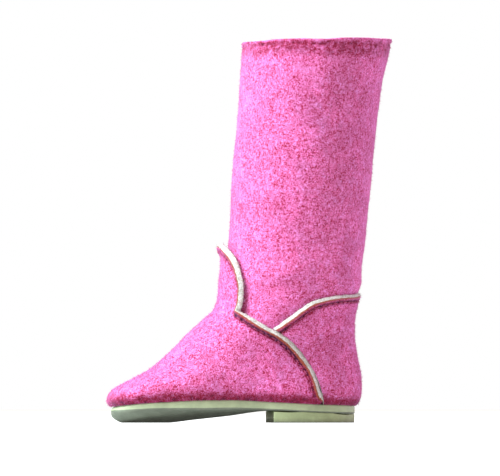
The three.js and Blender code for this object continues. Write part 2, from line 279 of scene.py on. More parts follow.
def bell(v, middle, width):
    """1 at the middle, falling off to both sides: e to minus the square of the widths away."""
    return np.exp(-(((v - middle) / width) ** 2))


def unit(vectors):
    """Vectors at length 1."""
    return vectors / np.linalg.norm(vectors, axis=-1, keepdims=True)


def quarter_round(share):
    """How far a rounded edge has dropped: one minus the root of one minus the share squared."""
    return 1 - np.sqrt(1 - share**2)


def curve_of(rows, across, column):
    """A smooth curve through one column of a table that never overshoots its rows: a cubic
    between each two rows, its slope at a row the harmonic mean of the steps on either side."""
    x, y = rows[across], rows[column]
    step = np.diff(y) / np.diff(x)
    product = step[:-1] * step[1:]
    total = np.where(product > 0, step[:-1] + step[1:], 1)
    slope = np.concatenate((step[:1], np.where(product > 0, 2 * product / total, 0), step[-1:]))

    def at(v):
        v = np.clip(v, x[0], x[-1])
        i = np.clip(np.searchsorted(x, v, side="right") - 1, 0, len(step) - 1)
        h = x[i + 1] - x[i]
        t = (v - x[i]) / h
        u = 1 - t
        start = u * u * (y[i] * (1 + 2 * t) + slope[i] * h * t)
        return start + t * t * (y[i + 1] * (1 + 2 * u) - slope[i + 1] * h * u)

    return at


SECTION_CURVES = {name: curve_of(SECTIONS, "z", name) for name in SECTIONS if name != "z"}
SOLE_CURVES = {name: curve_of(SOLE_HEIGHTS, "x", name) for name in ("top", "edge", "keel")}


def section_at(z):
    """The upper's section at a height."""
    return {name: curve(z) for name, curve in SECTION_CURVES.items()}


def half_outline(outline, ahead):
    """An outline's reach from its middle and its exponent, ahead of it or behind."""
    reach = np.where(ahead, outline["front"] - outline["middle"], outline["middle"] - outline["back"])
    return reach, np.where(ahead, outline["toe"], outline["heel"])


def outline_point(outline, theta, inset=0.0):
    """The point of an outline at an angle from the toe: the middle plus the half-ellipse's
    reach times the cosine, and half the width times the sine, each to 2 over the exponent."""
    c, s = np.cos(theta), np.sin(theta)
    reach, exponent = half_outline(outline, c > 0)
    power = 2 / exponent
    x = outline["middle"] + np.sign(c) * (reach - inset) * np.abs(c) ** power
    return x, np.sign(s) * (outline["half"] - inset) * np.abs(s) ** power


def angle_along(x, z):
    """The angle on the section at height z of the place x along the boot."""
    s = section_at(z)
    ahead = x > s["middle"]
    reach, exponent = half_outline(s, ahead)
    share = np.minimum(1, np.abs(x - s["middle"]) / reach) ** (exponent / 2)
    return np.arccos(np.where(ahead, share, -share))


def angle_across(y, z):
    """The angle, ahead of the middle, of the distance y off the middle plane."""
    s = section_at(z)
    return np.arcsin(np.minimum(1, y / s["half"]) ** (s["toe"] / 2))


def right_foot(x, y, z):
    """Bends a straight shape into the foot's curve: inwards and, on the inner side, forwards
    by the square of the way ahead, and nipped in under the arch by a bell curve."""
    ahead = np.maximum(0, (x - BEND_STARTS_AT) / BEND_LENGTH) ** 2
    inner = y / SOLE_OUTLINE["half"]
    arch = ARCH_NIP * bell(x, ARCH_PLACE, ARCH_SPREAD)
    nip = arch * np.maximum(0, inner) * (1 - smooth(FEATHER, SOLE_SHAPE_FADES_AT, z))
    bent = x + TOE_SKEW * inner * ahead, y + TOE_BEND * ahead - nip, z
    return np.stack(np.broadcast_arrays(*bent), -1)


def settled_height(x, z):
    """A section's height, following the sole's edge below, where the cloth is drawn down onto
    the sole, and rising rearwards at the collar."""
    s = section_at(z)
    on_sole = (SOLE_CURVES["top"](x) + GAP - FEATHER) * (1 - smooth(FEATHER, SOLE_SHAPE_FADES_AT, z))
    drawn_down = (GAP + 0.05) * (1 - smooth(FEATHER, FEATHER + 1.5, z))
    rearwards = (s["middle"] - x) / (s["front"] - s["back"])
    rise = COLLAR_REAR_RISE * rearwards * smooth(COLLAR_SHAPED_FROM, COLLAR_HEIGHT, z)
    return z + on_sole - drawn_down + rise


def face(theta, z, inset=0.0):
    """The upper's outer face at an angle and a height, drawn in by inset."""
    x, y = outline_point(section_at(z), theta, inset)
    return right_foot(x, y, settled_height(x, z))


def inner_face(theta, z, inset):
    """The face inside the wall: drawn in, and taken a little higher up where the boot slopes."""
    sloping = smooth(FEATHER, 11, z) * (1 - smooth(33, 48, z))
    x, y = outline_point(section_at(z + INSTEP_DROP * sloping), theta, inset)
    return right_foot(x, y, settled_height(x, z))


def stand_off(theta, z, distance):
    """The outer face moved out along its normal, and never down, by distance."""
    d = 0.01
    along = face(theta + d, z) - face(theta - d, z)
    up = face(theta, np.minimum(z + d, COLLAR_HEIGHT)) - face(theta, np.maximum(FEATHER, z - d))
    normal = np.cross(along, up)
    normal[..., 2] = np.maximum(0, normal[..., 2])
    return face(theta, z) + unit(normal) * np.asarray(distance)[..., None]


def folds(theta, z):
    """The depth of the listed folds: a sum of long bell curves, each turned in the
    plane of arc length and height."""
    depth = np.zeros(np.broadcast(theta, z).shape)
    for round_, height, length, width, turn, deep in zip(*FOLDS.values()):
        around = (np.asarray(theta) - math.radians(round_) + math.pi) % (2 * math.pi) - math.pi
        a, b = around * FOLD_RADIUS, z - height
        c, s = math.cos(math.radians(turn)), math.sin(math.radians(turn))
        depth += deep * bell(a * c + b * s, 0, length) * bell(b * c - a * s, 0, width)
    return depth


def noise(points, size, seed):
    """Smooth noise between -1 and 1: random values on a cubic lattice, eased between cells."""
    cells = 32
    lattice = np.random.default_rng(seed).uniform(-1, 1, (cells, cells, cells))
    q = points / size
    i = np.floor(q).astype(int)
    f = smooth(0, 1, q - i)
    total = 0
    for corner in np.ndindex(2, 2, 2):
        weight = np.prod(np.where(corner, f, 1 - f), axis=-1)
        total = total + weight * lattice[tuple(((i + corner) % cells)[..., k] for k in range(3))]
    return total


def unevenness(points):
    """The cloth's own soft unevenness: noise of three sizes, less of the finer ones."""
    fine = 0.07 * noise(points, 3.1, seed=4) + 0.035 * noise(points, 1.2, seed=5)
    return 0.16 * noise(points, 9.0, seed=3) + fine


def tufts(a, b, around, seed):
    """Soft tufts, about 0 between and 1 on top: a sum of bell curves over a jittered grid of
    centres, levelled off where they crowd. a and b count cells, and a closes round."""
    cells_up = 64
    jitter = np.random.default_rng(seed).uniform(0.12, 0.88, (around, cells_up, 3))
    total = np.zeros(np.broadcast(a, b).shape)
    ia, ib = np.floor(a).astype(int), np.floor(b).astype(int)
    for da in (-1, 0, 1):
        for db in (-1, 0, 1):
            centre = jitter[(ia + da) % around, (ib + db) % cells_up]
            x, y = ia + da + centre[..., 0] - a, ib + db + centre[..., 1] - b
            total += mix(0.6, 1.3, centre[..., 2]) * np.exp(-6.5 * (x * x + y * y))
    return np.clip((1 - np.exp(-1.4 * total) - 0.2) / 0.62, 0, 1)


def seam_through(theta, z, lift):
    """A seam on the face as a function of the share of the way along it: a centripetal
    Catmull-Rom curve through points of arc length, height and lift."""
    radius = SECTIONS["half"][-1]
    inside = np.stack((theta * radius, z, lift), -1)
    points = np.concatenate((2 * inside[:1] - inside[1:2], inside, 2 * inside[-1:] - inside[-2:-1]))
    gaps = np.sqrt(np.linalg.norm(np.diff(points, axis=0), axis=1))[:, None]

    def at(share):
        where = np.asarray(share) * (len(inside) - 1)
        i = np.clip(np.floor(where).astype(int), 0, len(inside) - 2)
        w = (where - i)[:, None]
        p0, p1, p2, p3 = (points[i + k] for k in range(4))
        d0, d1, d2 = (gaps[i + k] for k in range(3))
        m1 = ((p1 - p0) / d0 - (p2 - p0) / (d0 + d1) + (p2 - p1) / d1) * d1
        m2 = ((p2 - p1) / d1 - (p3 - p1) / (d1 + d2) + (p3 - p2) / d2) * d1
        cubic = p1 + m1 * w + (3 * (p2 - p1) - 2 * m1 - m2) * w**2 + (2 * (p1 - p2) + m1 + m2) * w**3
        return cubic[:, 0] / radius, cubic[:, 1], cubic[:, 2]

    return at


def steps(count):
    """Even steps from 0 to 1."""
    return np.linspace(0, 1, count)


def length_along(points):
    """Running length down the second axis of an array of points."""
    step = np.linalg.norm(np.diff(points, axis=1), axis=-1)
    return np.concatenate((np.zeros((len(points), 1)), np.cumsum(step, 1)), 1)


def evenly(seam, count):
    """Shares of the way along a seam that lie at equal steps of length on the face."""
    fine = steps(900)
    theta, z, _ = seam(fine)
    run = length_along(face(theta, z)[None])[0]
    return np.interp(np.linspace(0, run[-1], count), run, fine)


class Columns:
    """A panel's columns over the face, from the sole up to its cut edge."""

    def __init__(self, path, lift):
        fine = steps(121)
        self.theta, self.z = path(fine)
        self.run = length_along(face(self.theta, self.z))
        self.total = self.run[:, -1]
        self.lift = lift
        edge = face(self.theta[:, -1], self.z[:, -1])
        self.along = length_along(edge[None])[0]

    def at(self, length):
        """Angle and height at a length up each column, by rows of lengths."""
        length = np.clip(length, 0, self.total)
        i = np.clip((self.run[None] < length[..., None]).sum(-1), 1, self.run.shape[1] - 1)
        c = np.arange(len(self.total))[None]
        before, after = self.run[c, i - 1], self.run[c, i]
        t = (length - before) / np.maximum(1e-9, after - before)
        return mix(self.theta[c, i - 1], self.theta[c, i], t), mix(self.z[c, i - 1], self.z[c, i], t)


def square_to(theta, z):
    """The direction on the face, in steps of angle and height per millimetre, that crosses a
    line of angles and heights squarely, outwards from the panel below it."""
    d = 0.01
    around = (face(theta + d, z) - face(theta - d, z)) / (2 * d)
    up = (face(theta, z + d) - face(theta, z - d)) / (2 * d)
    dtheta, dz = np.gradient(theta), np.gradient(z)
    width, slant, height = ((a * b).sum(-1) for a, b in ((around, around), (around, up), (up, up)))
    turn, climb = slant * dtheta + height * dz, -(width * dtheta + slant * dz)
    length = np.linalg.norm(turn[:, None] * around + climb[:, None] * up, axis=-1)
    return turn / length, climb / length


def vamp_edge(side_count, tongue_count):
    """Half of the vamp's cut edge, up the side from the sole and round the tongue to its tip:
    for each point the angle below it at the sole, and its angle, height and lift."""
    side_theta = angle_along(VAMP_SIDE["x"], VAMP_SIDE["z"])
    tongue_theta = angle_across(VAMP_TONGUE["y"], VAMP_TONGUE["z"])

    def over_tip(side_rows, tongue_rows, mirror):
        """From the side's last row round the tongue to just past its tip."""
        return np.concatenate((side_rows[-1:], tongue_rows, mirror * tongue_rows[-2:-1]))

    side = seam_through(side_theta, VAMP_SIDE["z"], VAMP_SIDE["lift"])
    tongue = seam_through(
        over_tip(side_theta, tongue_theta, -1),
        over_tip(VAMP_SIDE["z"], VAMP_TONGUE["z"], 1),
        over_tip(VAMP_SIDE["lift"], VAMP_TONGUE["lift"], 1),
    )
    tip = len(tongue_theta) / (len(tongue_theta) + 1)
    side_t = mix(CORNER_CUT, 1, evenly(lambda t: side(mix(CORNER_CUT, 1, t)), side_count))
    tongue_t = evenly(lambda t: tongue(t * tip), tongue_count)[1:]
    side_share = (side_t - side_t[0]) / (1 - side_t[0])
    side_foot = mix(angle_along(VAMP_SIDE["x"][0] + 1.0, FEATHER), NOTCH_FOOT_ANGLE, side_share)
    foot = np.concatenate((side_foot, NOTCH_FOOT_ANGLE * (1 - tongue_t)))
    theta, z, lift = (np.concatenate(both) for both in zip(side(side_t), tongue(tongue_t * tip)))
    theta[-1] = 0
    return foot, theta, z, lift


def vamp_columns(side_count, tongue_count):
    """The vamp's columns: side, tongue, and the same mirrored, outer side of the foot first.
    Each is a cubic of four points that leaves the sole upright and meets the cut edge squarely,
    by directions evened out along the edge."""
    foot, theta, z, lift = vamp_edge(side_count, tongue_count)
    turn, climb = square_to(theta, z)
    turn[-1] = 0
    weights = np.hanning(9) / np.hanning(9).sum()
    turn, climb = (np.convolve(np.pad(v, 4, mode="edge"), weights, "valid") for v in (turn, climb))
    turn[-1] = 0
    span = np.linalg.norm(face(theta, z) - face(foot, FEATHER + 0 * foot), axis=-1)
    reach = np.minimum(0.4 * span, 5.0)
    foot, theta, turn = (np.concatenate((-v[:-1], v[::-1])) for v in (foot, theta, turn))
    z, lift, climb, reach = (np.concatenate((v[:-1], v[::-1])) for v in (z, lift, climb, reach))
    before_theta, before_z = (v[:, None] for v in (theta - turn * reach, z - climb * reach))
    foot, theta, z, reach = (v[:, None] for v in (foot, theta, z, reach))

    def path(t):
        start, leaving, arriving, end = (1 - t) ** 3, 3 * t * (1 - t) ** 2, 3 * t**2 * (1 - t), t**3
        around = (start + leaving) * foot + arriving * before_theta + end * theta
        up = start * FEATHER + leaving * (FEATHER + 0.6 * reach) + arriving * before_z + end * z
        return around, np.maximum(FEATHER, up)

    return Columns(path, lift)


def counter_columns(count):
    """The counter's columns: straight lines of angle and height from the sole to its top, but
    its ends follow the vamp's edge, a little behind it, and bend their neighbours less and
    less towards the back."""
    vamp_side = curve_of(VAMP_SIDE, "z", "x")

    def end(z):
        """The angle of the counter's end at a height."""
        return angle_along(vamp_side(z) - COUNTER_SETBACK, z)

    rising = angle_along(COUNTER_TOP["x"], COUNTER_TOP["z"])
    junction = end(COUNTER_JUNCTION["z"])

    def all_along(name):
        """One column of the top edge: the junction, up the side, the back and just past it."""
        rows = COUNTER_TOP[name]
        return np.concatenate(([COUNTER_JUNCTION[name]], rows, [COUNTER_BACK[name]], rows[-1:]))

    angles = np.concatenate(([junction], rising, [math.pi, 2 * math.pi - rising[-1]]))
    top = seam_through(angles, all_along("z"), all_along("lift"))
    middle = (len(rising) + 1) / (len(rising) + 2)
    share = evenly(lambda t: top(t * middle), count)
    theta, z, lift = top(share * middle)
    theta[-1] = math.pi
    foot = end(FEATHER)
    share, top_theta, top_z = share[:, None], theta[:, None], z[:, None]

    def path(t):
        bulge = end(mix(FEATHER, COUNTER_JUNCTION["z"], t)) - mix(foot, junction, t)
        straight = mix(mix(foot, math.pi, share), top_theta, t)
        around, up = straight + bulge * (1 - share), mix(FEATHER, top_z, t)
        return np.concatenate((around, 2 * math.pi - around[-2::-1])), np.concatenate((up, up[-2::-1]))

    return Columns(path, np.concatenate((lift, lift[-2::-1])))


class Panel:
    """A lapped panel's grid of points, rows running up its outer face, over its bevelled cut
    edge and back down inside, with each row's part, each point's painted shade along the sewn
    line and over the sole, where the specks grow denser too, and its rusty rim. Over what it
    laps, the lower line of the cut stands off by under, and trough is its sewn line's depth."""

    def __init__(self, columns, thickness, bevel, seed, body_rows, crowding, under, trough, soft_edge):
        total = columns.total
        self.columns, self.seed, self.stitch_row = columns, seed, body_rows - 1
        self.allowance = np.minimum(SEAM_ALLOWANCE, total * ALLOWANCE_SHARE)
        self.bevel = np.minimum(bevel, self.allowance * BEVEL_SHARE)
        self.ragged = self.wander()
        self.length, self.part = self.lay_rows(body_rows, crowding)
        self.to_edge = total - self.length
        self.full = np.minimum(1, total / FULL_RELIEF_FROM)
        self.pitch = np.cos(2 * math.pi * columns.along / millimetres("stitch_pitch"))
        theta, z = columns.at(self.length)
        ground = face(theta, z)
        relief = folds(theta, z) + unevenness(ground)
        outer, inner = self.both_faces(relief, thickness, under, trough, soft_edge)
        across_cut = self.share_across_cut()
        at_cut = self.cut_face(outer, inner, across_cut, ground, soft_edge)
        part = self.part[:, None]
        self.points = stand_off(theta, z, np.select([part == BODY, part == CUT], [outer, at_cut], inner))
        self.points[..., 2] += np.maximum(0, -self.to_edge)
        # Painted shade in the sewn line's trough and over the sole.
        shade = np.maximum(self.painted_sewn_shade(ground, trough), painted_shade_over_sole(ground))
        self.seam = np.where(part == BODY, shade, 0)
        self.rim = 1 - smooth(0.1, 0.38, across_cut) * (part > 0)
        self.rim = self.rim * smooth(self.bevel + 0.55, self.bevel + 0.1, self.to_edge)

    def wander(self):
        """How far the cut wanders from its line."""
        along = self.columns.along
        line = np.stack((along, 0 * along, 0 * along), -1)
        return 0.17 * noise(line + 5, 2.3, self.seed) + 0.11 * noise(line + 9, 0.8, self.seed)

    def lay_rows(self, body_rows, crowding):
        """Each row's length up the columns, and its part: even rows up the body, a ridge past
        the sewn line, the cut across the bevel, and rows that crowd to the edge inside."""
        total, ragged = self.columns.total, self.ragged
        body = steps(body_rows)[:, None] ** crowding * (total - self.allowance)
        t = steps(RIDGE_ROWS + 1)[1:, None]
        ridge = total - mix(self.allowance, self.bevel, t) + ragged * t * 0.5
        t = steps(CUT_ROWS + 1)[1:, None]
        cut = total - mix(self.bevel, 0, t) + ragged * mix(0.5, 1, t)
        inside = (total + ragged)[None] - steps(INSIDE_ROWS + 1)[1:, None] ** 1.5 * (total + ragged)
        rows = body, ridge, cut, inside
        return np.concatenate(rows), np.repeat((BODY, BODY, CUT, INSIDE), [len(row) for row in rows])

    def both_faces(self, relief, thickness, under, trough, soft_edge):
        """How far the outer and inner faces stand off: lifted towards the cut, sunk along the
        sewn line, puffed below it, crested above it, and rounded at the foot and a soft edge."""
        to_edge, allowance = self.to_edge, self.allowance
        to_cut = to_edge / allowance
        rise = self.columns.lift * (1 - smooth(0.35 + 0.35 * soft_edge, 1.35 + 0.3 * soft_edge, to_cut))
        raised = under * (1 - smooth(0.4, 1.5, to_cut))
        sunk = bell(to_edge, allowance, 0.6) * self.full
        puff = bell(to_edge, allowance * 1.8, 1.4) * 0.16
        crest = bell(to_edge, self.bevel + 0.35, 0.5) * 0.28 * (1 - soft_edge)
        outer = PANEL_GAP + thickness + rise + raised * 0.35 + relief
        outer += (puff + crest) * self.full - sunk * (trough + 0.2 * self.pitch)
        outer -= 0.95 * quarter_round(np.clip(1 - to_edge / 1.5, 0, 1)) * soft_edge
        outer -= 0.55 * quarter_round(np.clip(1 - self.length / 1.1, 0, 1))
        return outer, PANEL_GAP + np.maximum(rise * 0.95, raised)

    def share_across_cut(self):
        """0 at the cut's upper line and 1 at its lower one."""
        half_ragged = 0.5 * self.ragged
        start = self.columns.total + half_ragged - self.bevel
        return np.clip((self.length - start) / (self.bevel + half_ragged), 0, 1)

    def cut_face(self, outer, inner, across_cut, ground, soft_edge):
        """The cut, from the outer face down to the inner one along a rounded, sagging line."""
        sag = 0.12 * np.sin(math.pi * across_cut) + 0.09 * noise(ground, 0.7, self.seed + 1)
        power = mix(1.15, 2.0, soft_edge)
        return inner + (outer - inner) * (1 - across_cut**power) ** (1 / power) + sag

    def painted_sewn_shade(self, ground, trough):
        """How dark the shade painted along the sewn line is: uneven, and deeper where its trough is."""
        uneven = 1 + 0.1 * self.pitch + 0.28 * noise(ground, 2.2, self.seed + 2)
        shade = bell(self.to_edge, self.allowance * 0.92, 0.72) * uneven * self.full
        return np.minimum(1, shade * (0.6 + 0.6 * trough))


def painted_shade_over_sole(points):
    """Painted shade on the cloth just over the sole, where it turns under, 0 to 1; the specks
    grow denser there too.
    """
    height = points[..., 2] - SOLE_CURVES["top"](points[..., 0]) + 0.7 * noise(points, 2.6, seed=12)
    band = 0.5 * (1 - smooth(1.0, 3.4, height)) + 0.16 * (1 - smooth(2.0, 6.0, height))
    return band * (1 + 0.35 * noise(points, 0.9, seed=13))


# Putting grids into meshes


def grid_faces(rows, columns, rows_close, columns_close):
    """Quads of a grid of points, anticlockwise where rows run up and columns run right, and
    the row that each one starts from."""
    r = np.arange(rows if rows_close else rows - 1)[:, None]
    c = np.arange(columns if columns_close else columns - 1)[None]
    up, on = (r + 1) % rows, (c + 1) % columns
    corners = (r * columns + c, r * columns + on, up * columns + on, up * columns + c)
    quads = np.stack(np.broadcast_arrays(*corners), -1)
    return quads.reshape(-1, 4), np.broadcast_to(r, quads.shape[:2]).reshape(-1)


def repeated(faces, count, points_each):
    """The faces of one shape, numbered on for each of its copies."""
    on = points_each * np.arange(count)[:, None, None]
    return (faces[None] + on).reshape(-1, faces.shape[-1])


def copied_tubes(sides, rings, count):
    """The faces of many copied tubes, each closed at both ends by one face."""
    quads, _ = grid_faces(rings, sides, False, True)
    first = np.arange(count)[:, None] * sides * rings
    start = first + np.arange(sides)[::-1]
    finish = first + sides * (rings - 1) + np.arange(sides)
    return repeated(quads, count, sides * rings).tolist() + start.tolist() + finish.tolist()


def add_piece(name, points, faces, materials, replaces=(), part=None, attributes=None):
    """A mesh object from points in boot coordinates, riding on the boot, with its materials by
    name, a material's number for each face and named values for each point."""
    mesh = bpy.data.meshes.new(name)
    place = (np.asarray(points).reshape(-1, 3) + (ANKLE_BACK, 0, 0)) / MM_PER_METRE
    mesh.from_pydata(place.tolist(), [], faces if isinstance(faces, list) else faces.tolist())
    for key in materials:
        mesh.materials.append(made_before(MATERIALS, key, "Materials"))
    if part is not None:
        mesh.polygons.foreach_set("material_index", np.asarray(part, np.int32))
    for key, values in (attributes or {}).items():
        layer = mesh.attributes.new(key, "FLOAT", "POINT")
        layer.data.foreach_set("value", np.asarray(values, np.float32).reshape(-1))
    mesh.shade_smooth()
    mesh.update()
    piece = bpy.data.objects.new(name, mesh)
    bpy.context.scene.collection.objects.link(piece)
    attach(piece, "root")
    if replaces:
        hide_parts(*replaces)
    return piece


def add_panel(name, panel, materials, replaces):
    """A panel's closed mesh: its grid closed from the last row to the first, its two ends
    capped, and all but the body in the second material."""
    rows, columns = panel.length.shape
    quads, row = grid_faces(rows, columns, True, False)
    part = panel.part[row]
    part[row == rows - 1] = INSIDE
    loop = np.arange(rows) * columns
    faces = quads.tolist() + [loop.tolist(), (loop + columns - 1)[::-1].tolist()]
    number = np.minimum(np.concatenate((part, (CUT, CUT))), 1)
    # Painted shade along the sewn line and over the sole, and the rusty rim.
    shades = {"seam": panel.seam, "rim": panel.rim}
    return add_piece(name, panel.points, faces, materials, replaces, number, shades)


def add_slab(name, upper, lower, materials, replaces, attributes=None):
    """A closed slab from an upper and a lower grid joined round their rims, its underside in
    the last material."""
    rows, columns = upper.shape[:2]
    quads, _ = grid_faces(rows, columns, False, False)
    size = rows * columns
    first_row = np.arange(columns)
    last_column = np.arange(1, rows) * columns + columns - 1
    last_row = (rows - 1) * columns + np.arange(columns - 2, -1, -1)
    first_column = np.arange(rows - 2, 0, -1) * columns
    rim = np.concatenate((first_row, last_column, last_row, first_column))
    following = np.roll(rim, -1)
    wall = np.stack((following, rim, rim + size, following + size), -1)
    faces = np.concatenate((quads, quads[:, ::-1] + size, wall))
    part = np.repeat((0, len(materials) - 1, 0), (len(quads), len(quads), len(wall)))
    points = np.concatenate((upper.reshape(-1, 3), lower.reshape(-1, 3)))
    return add_piece(name, points, faces, materials, replaces, part, attributes)


# Materials


def opaque(colour):
    """A colour's three numbers with an alpha of 1, and a node's output as it is."""
    return colour if isinstance(colour, bpy.types.NodeSocket) else (*colour, 1)


class Nodes:
    """Adds nodes to one tree and wires them."""

    def __init__(self, tree):
        self.tree = tree
        self.place = None

    def put(self, node, inputs):
        """Sets each named or numbered input to a value, or links it to another's output."""
        for key, value in inputs.items():
            if isinstance(value, bpy.types.NodeSocket):
                self.tree.links.new(value, node.inputs[key])
            else:
                node.inputs[key].default_value = value

    def add(self, kind, inputs=None, **settings):
        """The new node itself, with its settings and inputs."""
        node = self.tree.nodes.new(kind)
        for key, value in settings.items():
            setattr(node, key, value)
        self.put(node, inputs or {})
        return node

    def where(self):
        """The Object coordinates that the patterns read, from one node."""
        if self.place is None:
            self.place = self.add("ShaderNodeTexCoord").outputs["Object"]
        return self.place

    def noise(self, scale, detail=2.0, roughness=0.5, distortion=0.0, where=None, give="Fac"):
        """Smooth noise from 0 to 1, or of colours."""
        inputs = {"Vector": self.where() if where is None else where, "Scale": scale, "Detail": detail}
        inputs.update({"Roughness": roughness, "Distortion": distortion})
        return self.add("ShaderNodeTexNoise", inputs).outputs[give]

    def ranged(self, value, low, high, to_low=0.0, to_high=1.0):
        """One range of values taken to another along an S-curve, and held beyond its ends."""
        inputs = {"Value": value, "From Min": low, "From Max": high, "To Min": to_low, "To Max": to_high}
        return self.add("ShaderNodeMapRange", inputs, interpolation_type="SMOOTHSTEP").outputs["Result"]

    def blend(self, factor, a, b, how="MIX"):
        """From colour a to colour b, or a multiplied by b, as far as the factor says."""
        inputs = {0: factor, 6: opaque(a), 7: opaque(b)}
        return self.add("ShaderNodeMix", inputs, data_type="RGBA", blend_type=how).outputs[2]

    def maths(self, how, a, b):
        """Two values added, taken off or multiplied."""
        return self.add("ShaderNodeMath", {0: a, 1: b}, operation=how).outputs[0]

    def uneven(self, value, pattern, amount):
        """A value moved up and down by a pattern about its half."""
        shift = self.maths("MULTIPLY", self.maths("SUBTRACT", pattern, 0.5), amount)
        return self.maths("ADD", value, shift)

    def attribute(self, name):
        """A value that the mesh holds for each point."""
        return self.add("ShaderNodeAttribute", attribute_name=name).outputs["Fac"]

    def bump(self, height, distance, strength):
        """The normal as tilted by a height that isn't in the mesh."""
        inputs = {"Height": height, "Distance": distance, "Strength": strength}
        return self.add("ShaderNodeBump", inputs).outputs[0]


class Surface(Nodes):
    """The nodes of a new material."""

    def __init__(self, name):
        self.material = bpy.data.materials.new(name)
        self.material.use_nodes = True
        super().__init__(self.material.node_tree)

    def shaded(self, inputs):
        """The material, once its shader has these inputs."""
        self.put(self.tree.nodes["Principled BSDF"], inputs)
        return self.material


COLOUR_SOCKET, VALUE_SOCKET = "NodeSocketColor", "NodeSocketFloat"
NAP_INPUTS = dict.fromkeys(("Deep", "Body", "Tip"), COLOUR_SOCKET)
NAP_INPUTS.update(dict.fromkeys(("Grain", "Seam", "Rim"), VALUE_SOCKET))
NAP_OUTPUTS = {"Colour": COLOUR_SOCKET, "Roughness": VALUE_SOCKET, "Height": VALUE_SOCKET}


def nap_group():
    """Napped cloth: deep, body and tip colours by fibre noise, broad blotches, scattered dark
    specks, painted shade in crimson and then navy where the mesh's shade value is high, rusty
    at a cut rim, and the fibres' height for a bump."""
    tree = bpy.data.node_groups.new("napped_cloth", "ShaderNodeTree")
    for name, kind in NAP_INPUTS.items():
        tree.interface.new_socket(name, in_out="INPUT", socket_type=kind)
    for name, kind in NAP_OUTPUTS.items():
        tree.interface.new_socket(name, in_out="OUTPUT", socket_type=kind)
    made = Nodes(tree)
    given = made.add("NodeGroupInput").outputs
    fine = made.noise(given["Grain"], 3.0, 0.65)
    coarse = made.noise(made.maths("MULTIPLY", given["Grain"], 0.42))
    broad = made.noise(95.0, 3.0, 0.6, 0.6)
    patch = made.noise(330.0, 2.0, 0.55, 0.3)
    height = made.maths("ADD", made.maths("MULTIPLY", fine, 0.72), made.maths("MULTIPLY", coarse, 0.28))
    colour = made.blend(made.ranged(height, 0.385, 0.50), given["Deep"], given["Body"])
    colour = made.blend(made.ranged(height, 0.5, 0.66), colour, given["Tip"])
    colour = made.blend(made.ranged(patch, 0.52, 0.7, 0.0, 0.22), colour, given["Tip"])
    tone = made.ranged(broad, 0.32, 0.7, 0.86, 1.08)
    tones = made.add("ShaderNodeCombineColor", {0: tone, 1: tone, 2: tone}).outputs[0]
    colour = made.blend(1.0, colour, tones, "MULTIPLY")

    # Specks are denser where shade is painted and in the darker patches.
    speck = made.noise(made.maths("MULTIPLY", given["Grain"], 0.78))
    reach = made.maths("SUBTRACT", 0.645, made.maths("MULTIPLY", given["Seam"], 0.16))
    reach = made.maths("SUBTRACT", reach, made.ranged(patch, 0.55, 0.35, 0.0, 0.05))
    speck = made.ranged(made.maths("SUBTRACT", speck, reach), -0.02, 0.03, 0.0, 0.92)
    colour = made.blend(speck, colour, made.blend(1.0, given["Deep"], SPECK_TONE, "MULTIPLY"))

    # Painted shade: crimson, and navy where it is deepest, wherever the mesh's shade value is high.
    painted_shade_colour = made.blend(made.ranged(given["Seam"], 0.62, 0.95), PAINTED_SHADE_CRIMSON, PAINTED_SHADOW_NAVY)
    colour = made.blend(made.ranged(given["Seam"], 0.0, 0.8, 0.0, 0.93), colour, painted_shade_colour)
    rust = made.uneven(given["Rim"], patch, 0.8)
    colour = made.blend(made.ranged(rust, 0.45, 0.8, 0.0, 0.85), colour, RUST)
    roughness = made.ranged(height, 0.35, 0.65, 0.98, 0.82)
    made.add("NodeGroupOutput", {"Colour": colour, "Roughness": roughness, "Height": height})
    return tree


def suede(name, group, colours, grain):
    """Napped suede cloth with the sheen of its standing fibres."""
    made = Surface(name)
    nap = made.add("ShaderNodeGroup", node_tree=group)
    made.put(nap, {key: opaque(colour) for key, colour in colours.items()})
    # The mesh's painted shade, which also thickens the specks, and its rusty rim.
    made.put(nap, {"Grain": grain, "Seam": made.attribute("seam"), "Rim": made.attribute("rim")})
    return made.shaded(
        {
            "Base Color": nap.outputs["Colour"],
            "Roughness": nap.outputs["Roughness"],
            "Normal": made.bump(nap.outputs["Height"], 0.0003, 0.8),
            "Specular IOR Level": 0.12,
            "Sheen Weight": 0.5,
            "Sheen Roughness": 0.35,
            "Sheen Tint": opaque(SUEDE_SHEEN),
        }
    )


def nap_material(colours):
    """The standing nap: crimson at its roots and violet-pink at its tips."""
    made = Surface("suede_nap")
    tone = made.noise(900.0)
    root = made.blend(made.ranged(tone, 0.4, 0.6), colours["Deep"], colours["Body"])
    end = made.blend(made.ranged(tone, 0.42, 0.58), colours["Body"], colours["Tip"])
    return made.shaded(
        {
            "Base Color": made.blend(made.attribute("tip"), root, end),
            "Roughness": made.ranged(tone, 0.3, 0.7, 0.95, 0.75),
            "Specular IOR Level": 0.15,
        }
    )


def cut_edge_material():
    """The cloth's cut edge and pale backing, fibrous, with a rusty line where the nap ends."""
    made = Surface("cut_edge")
    fibre = made.noise(1900.0, 4.0, 0.7)
    patch = made.noise(420.0)
    colour = made.blend(made.ranged(fibre, 0.36, 0.62), BACKING_GREY, BACKING_PALE)
    colour = made.blend(made.ranged(patch, 0.56, 0.72, 0.0, 0.55), colour, BACKING_PINK)
    rust = made.uneven(made.attribute("rim"), patch, 0.9)
    return made.shaded(
        {
            "Base Color": made.blend(made.ranged(rust, 0.45, 0.75), colour, RUST),
            "Roughness": made.ranged(fibre, 0.3, 0.7, 1.0, 0.85),
            "Normal": made.bump(fibre, 0.0005, 0.8),
            "Specular IOR Level": 0.15,
        }
    )


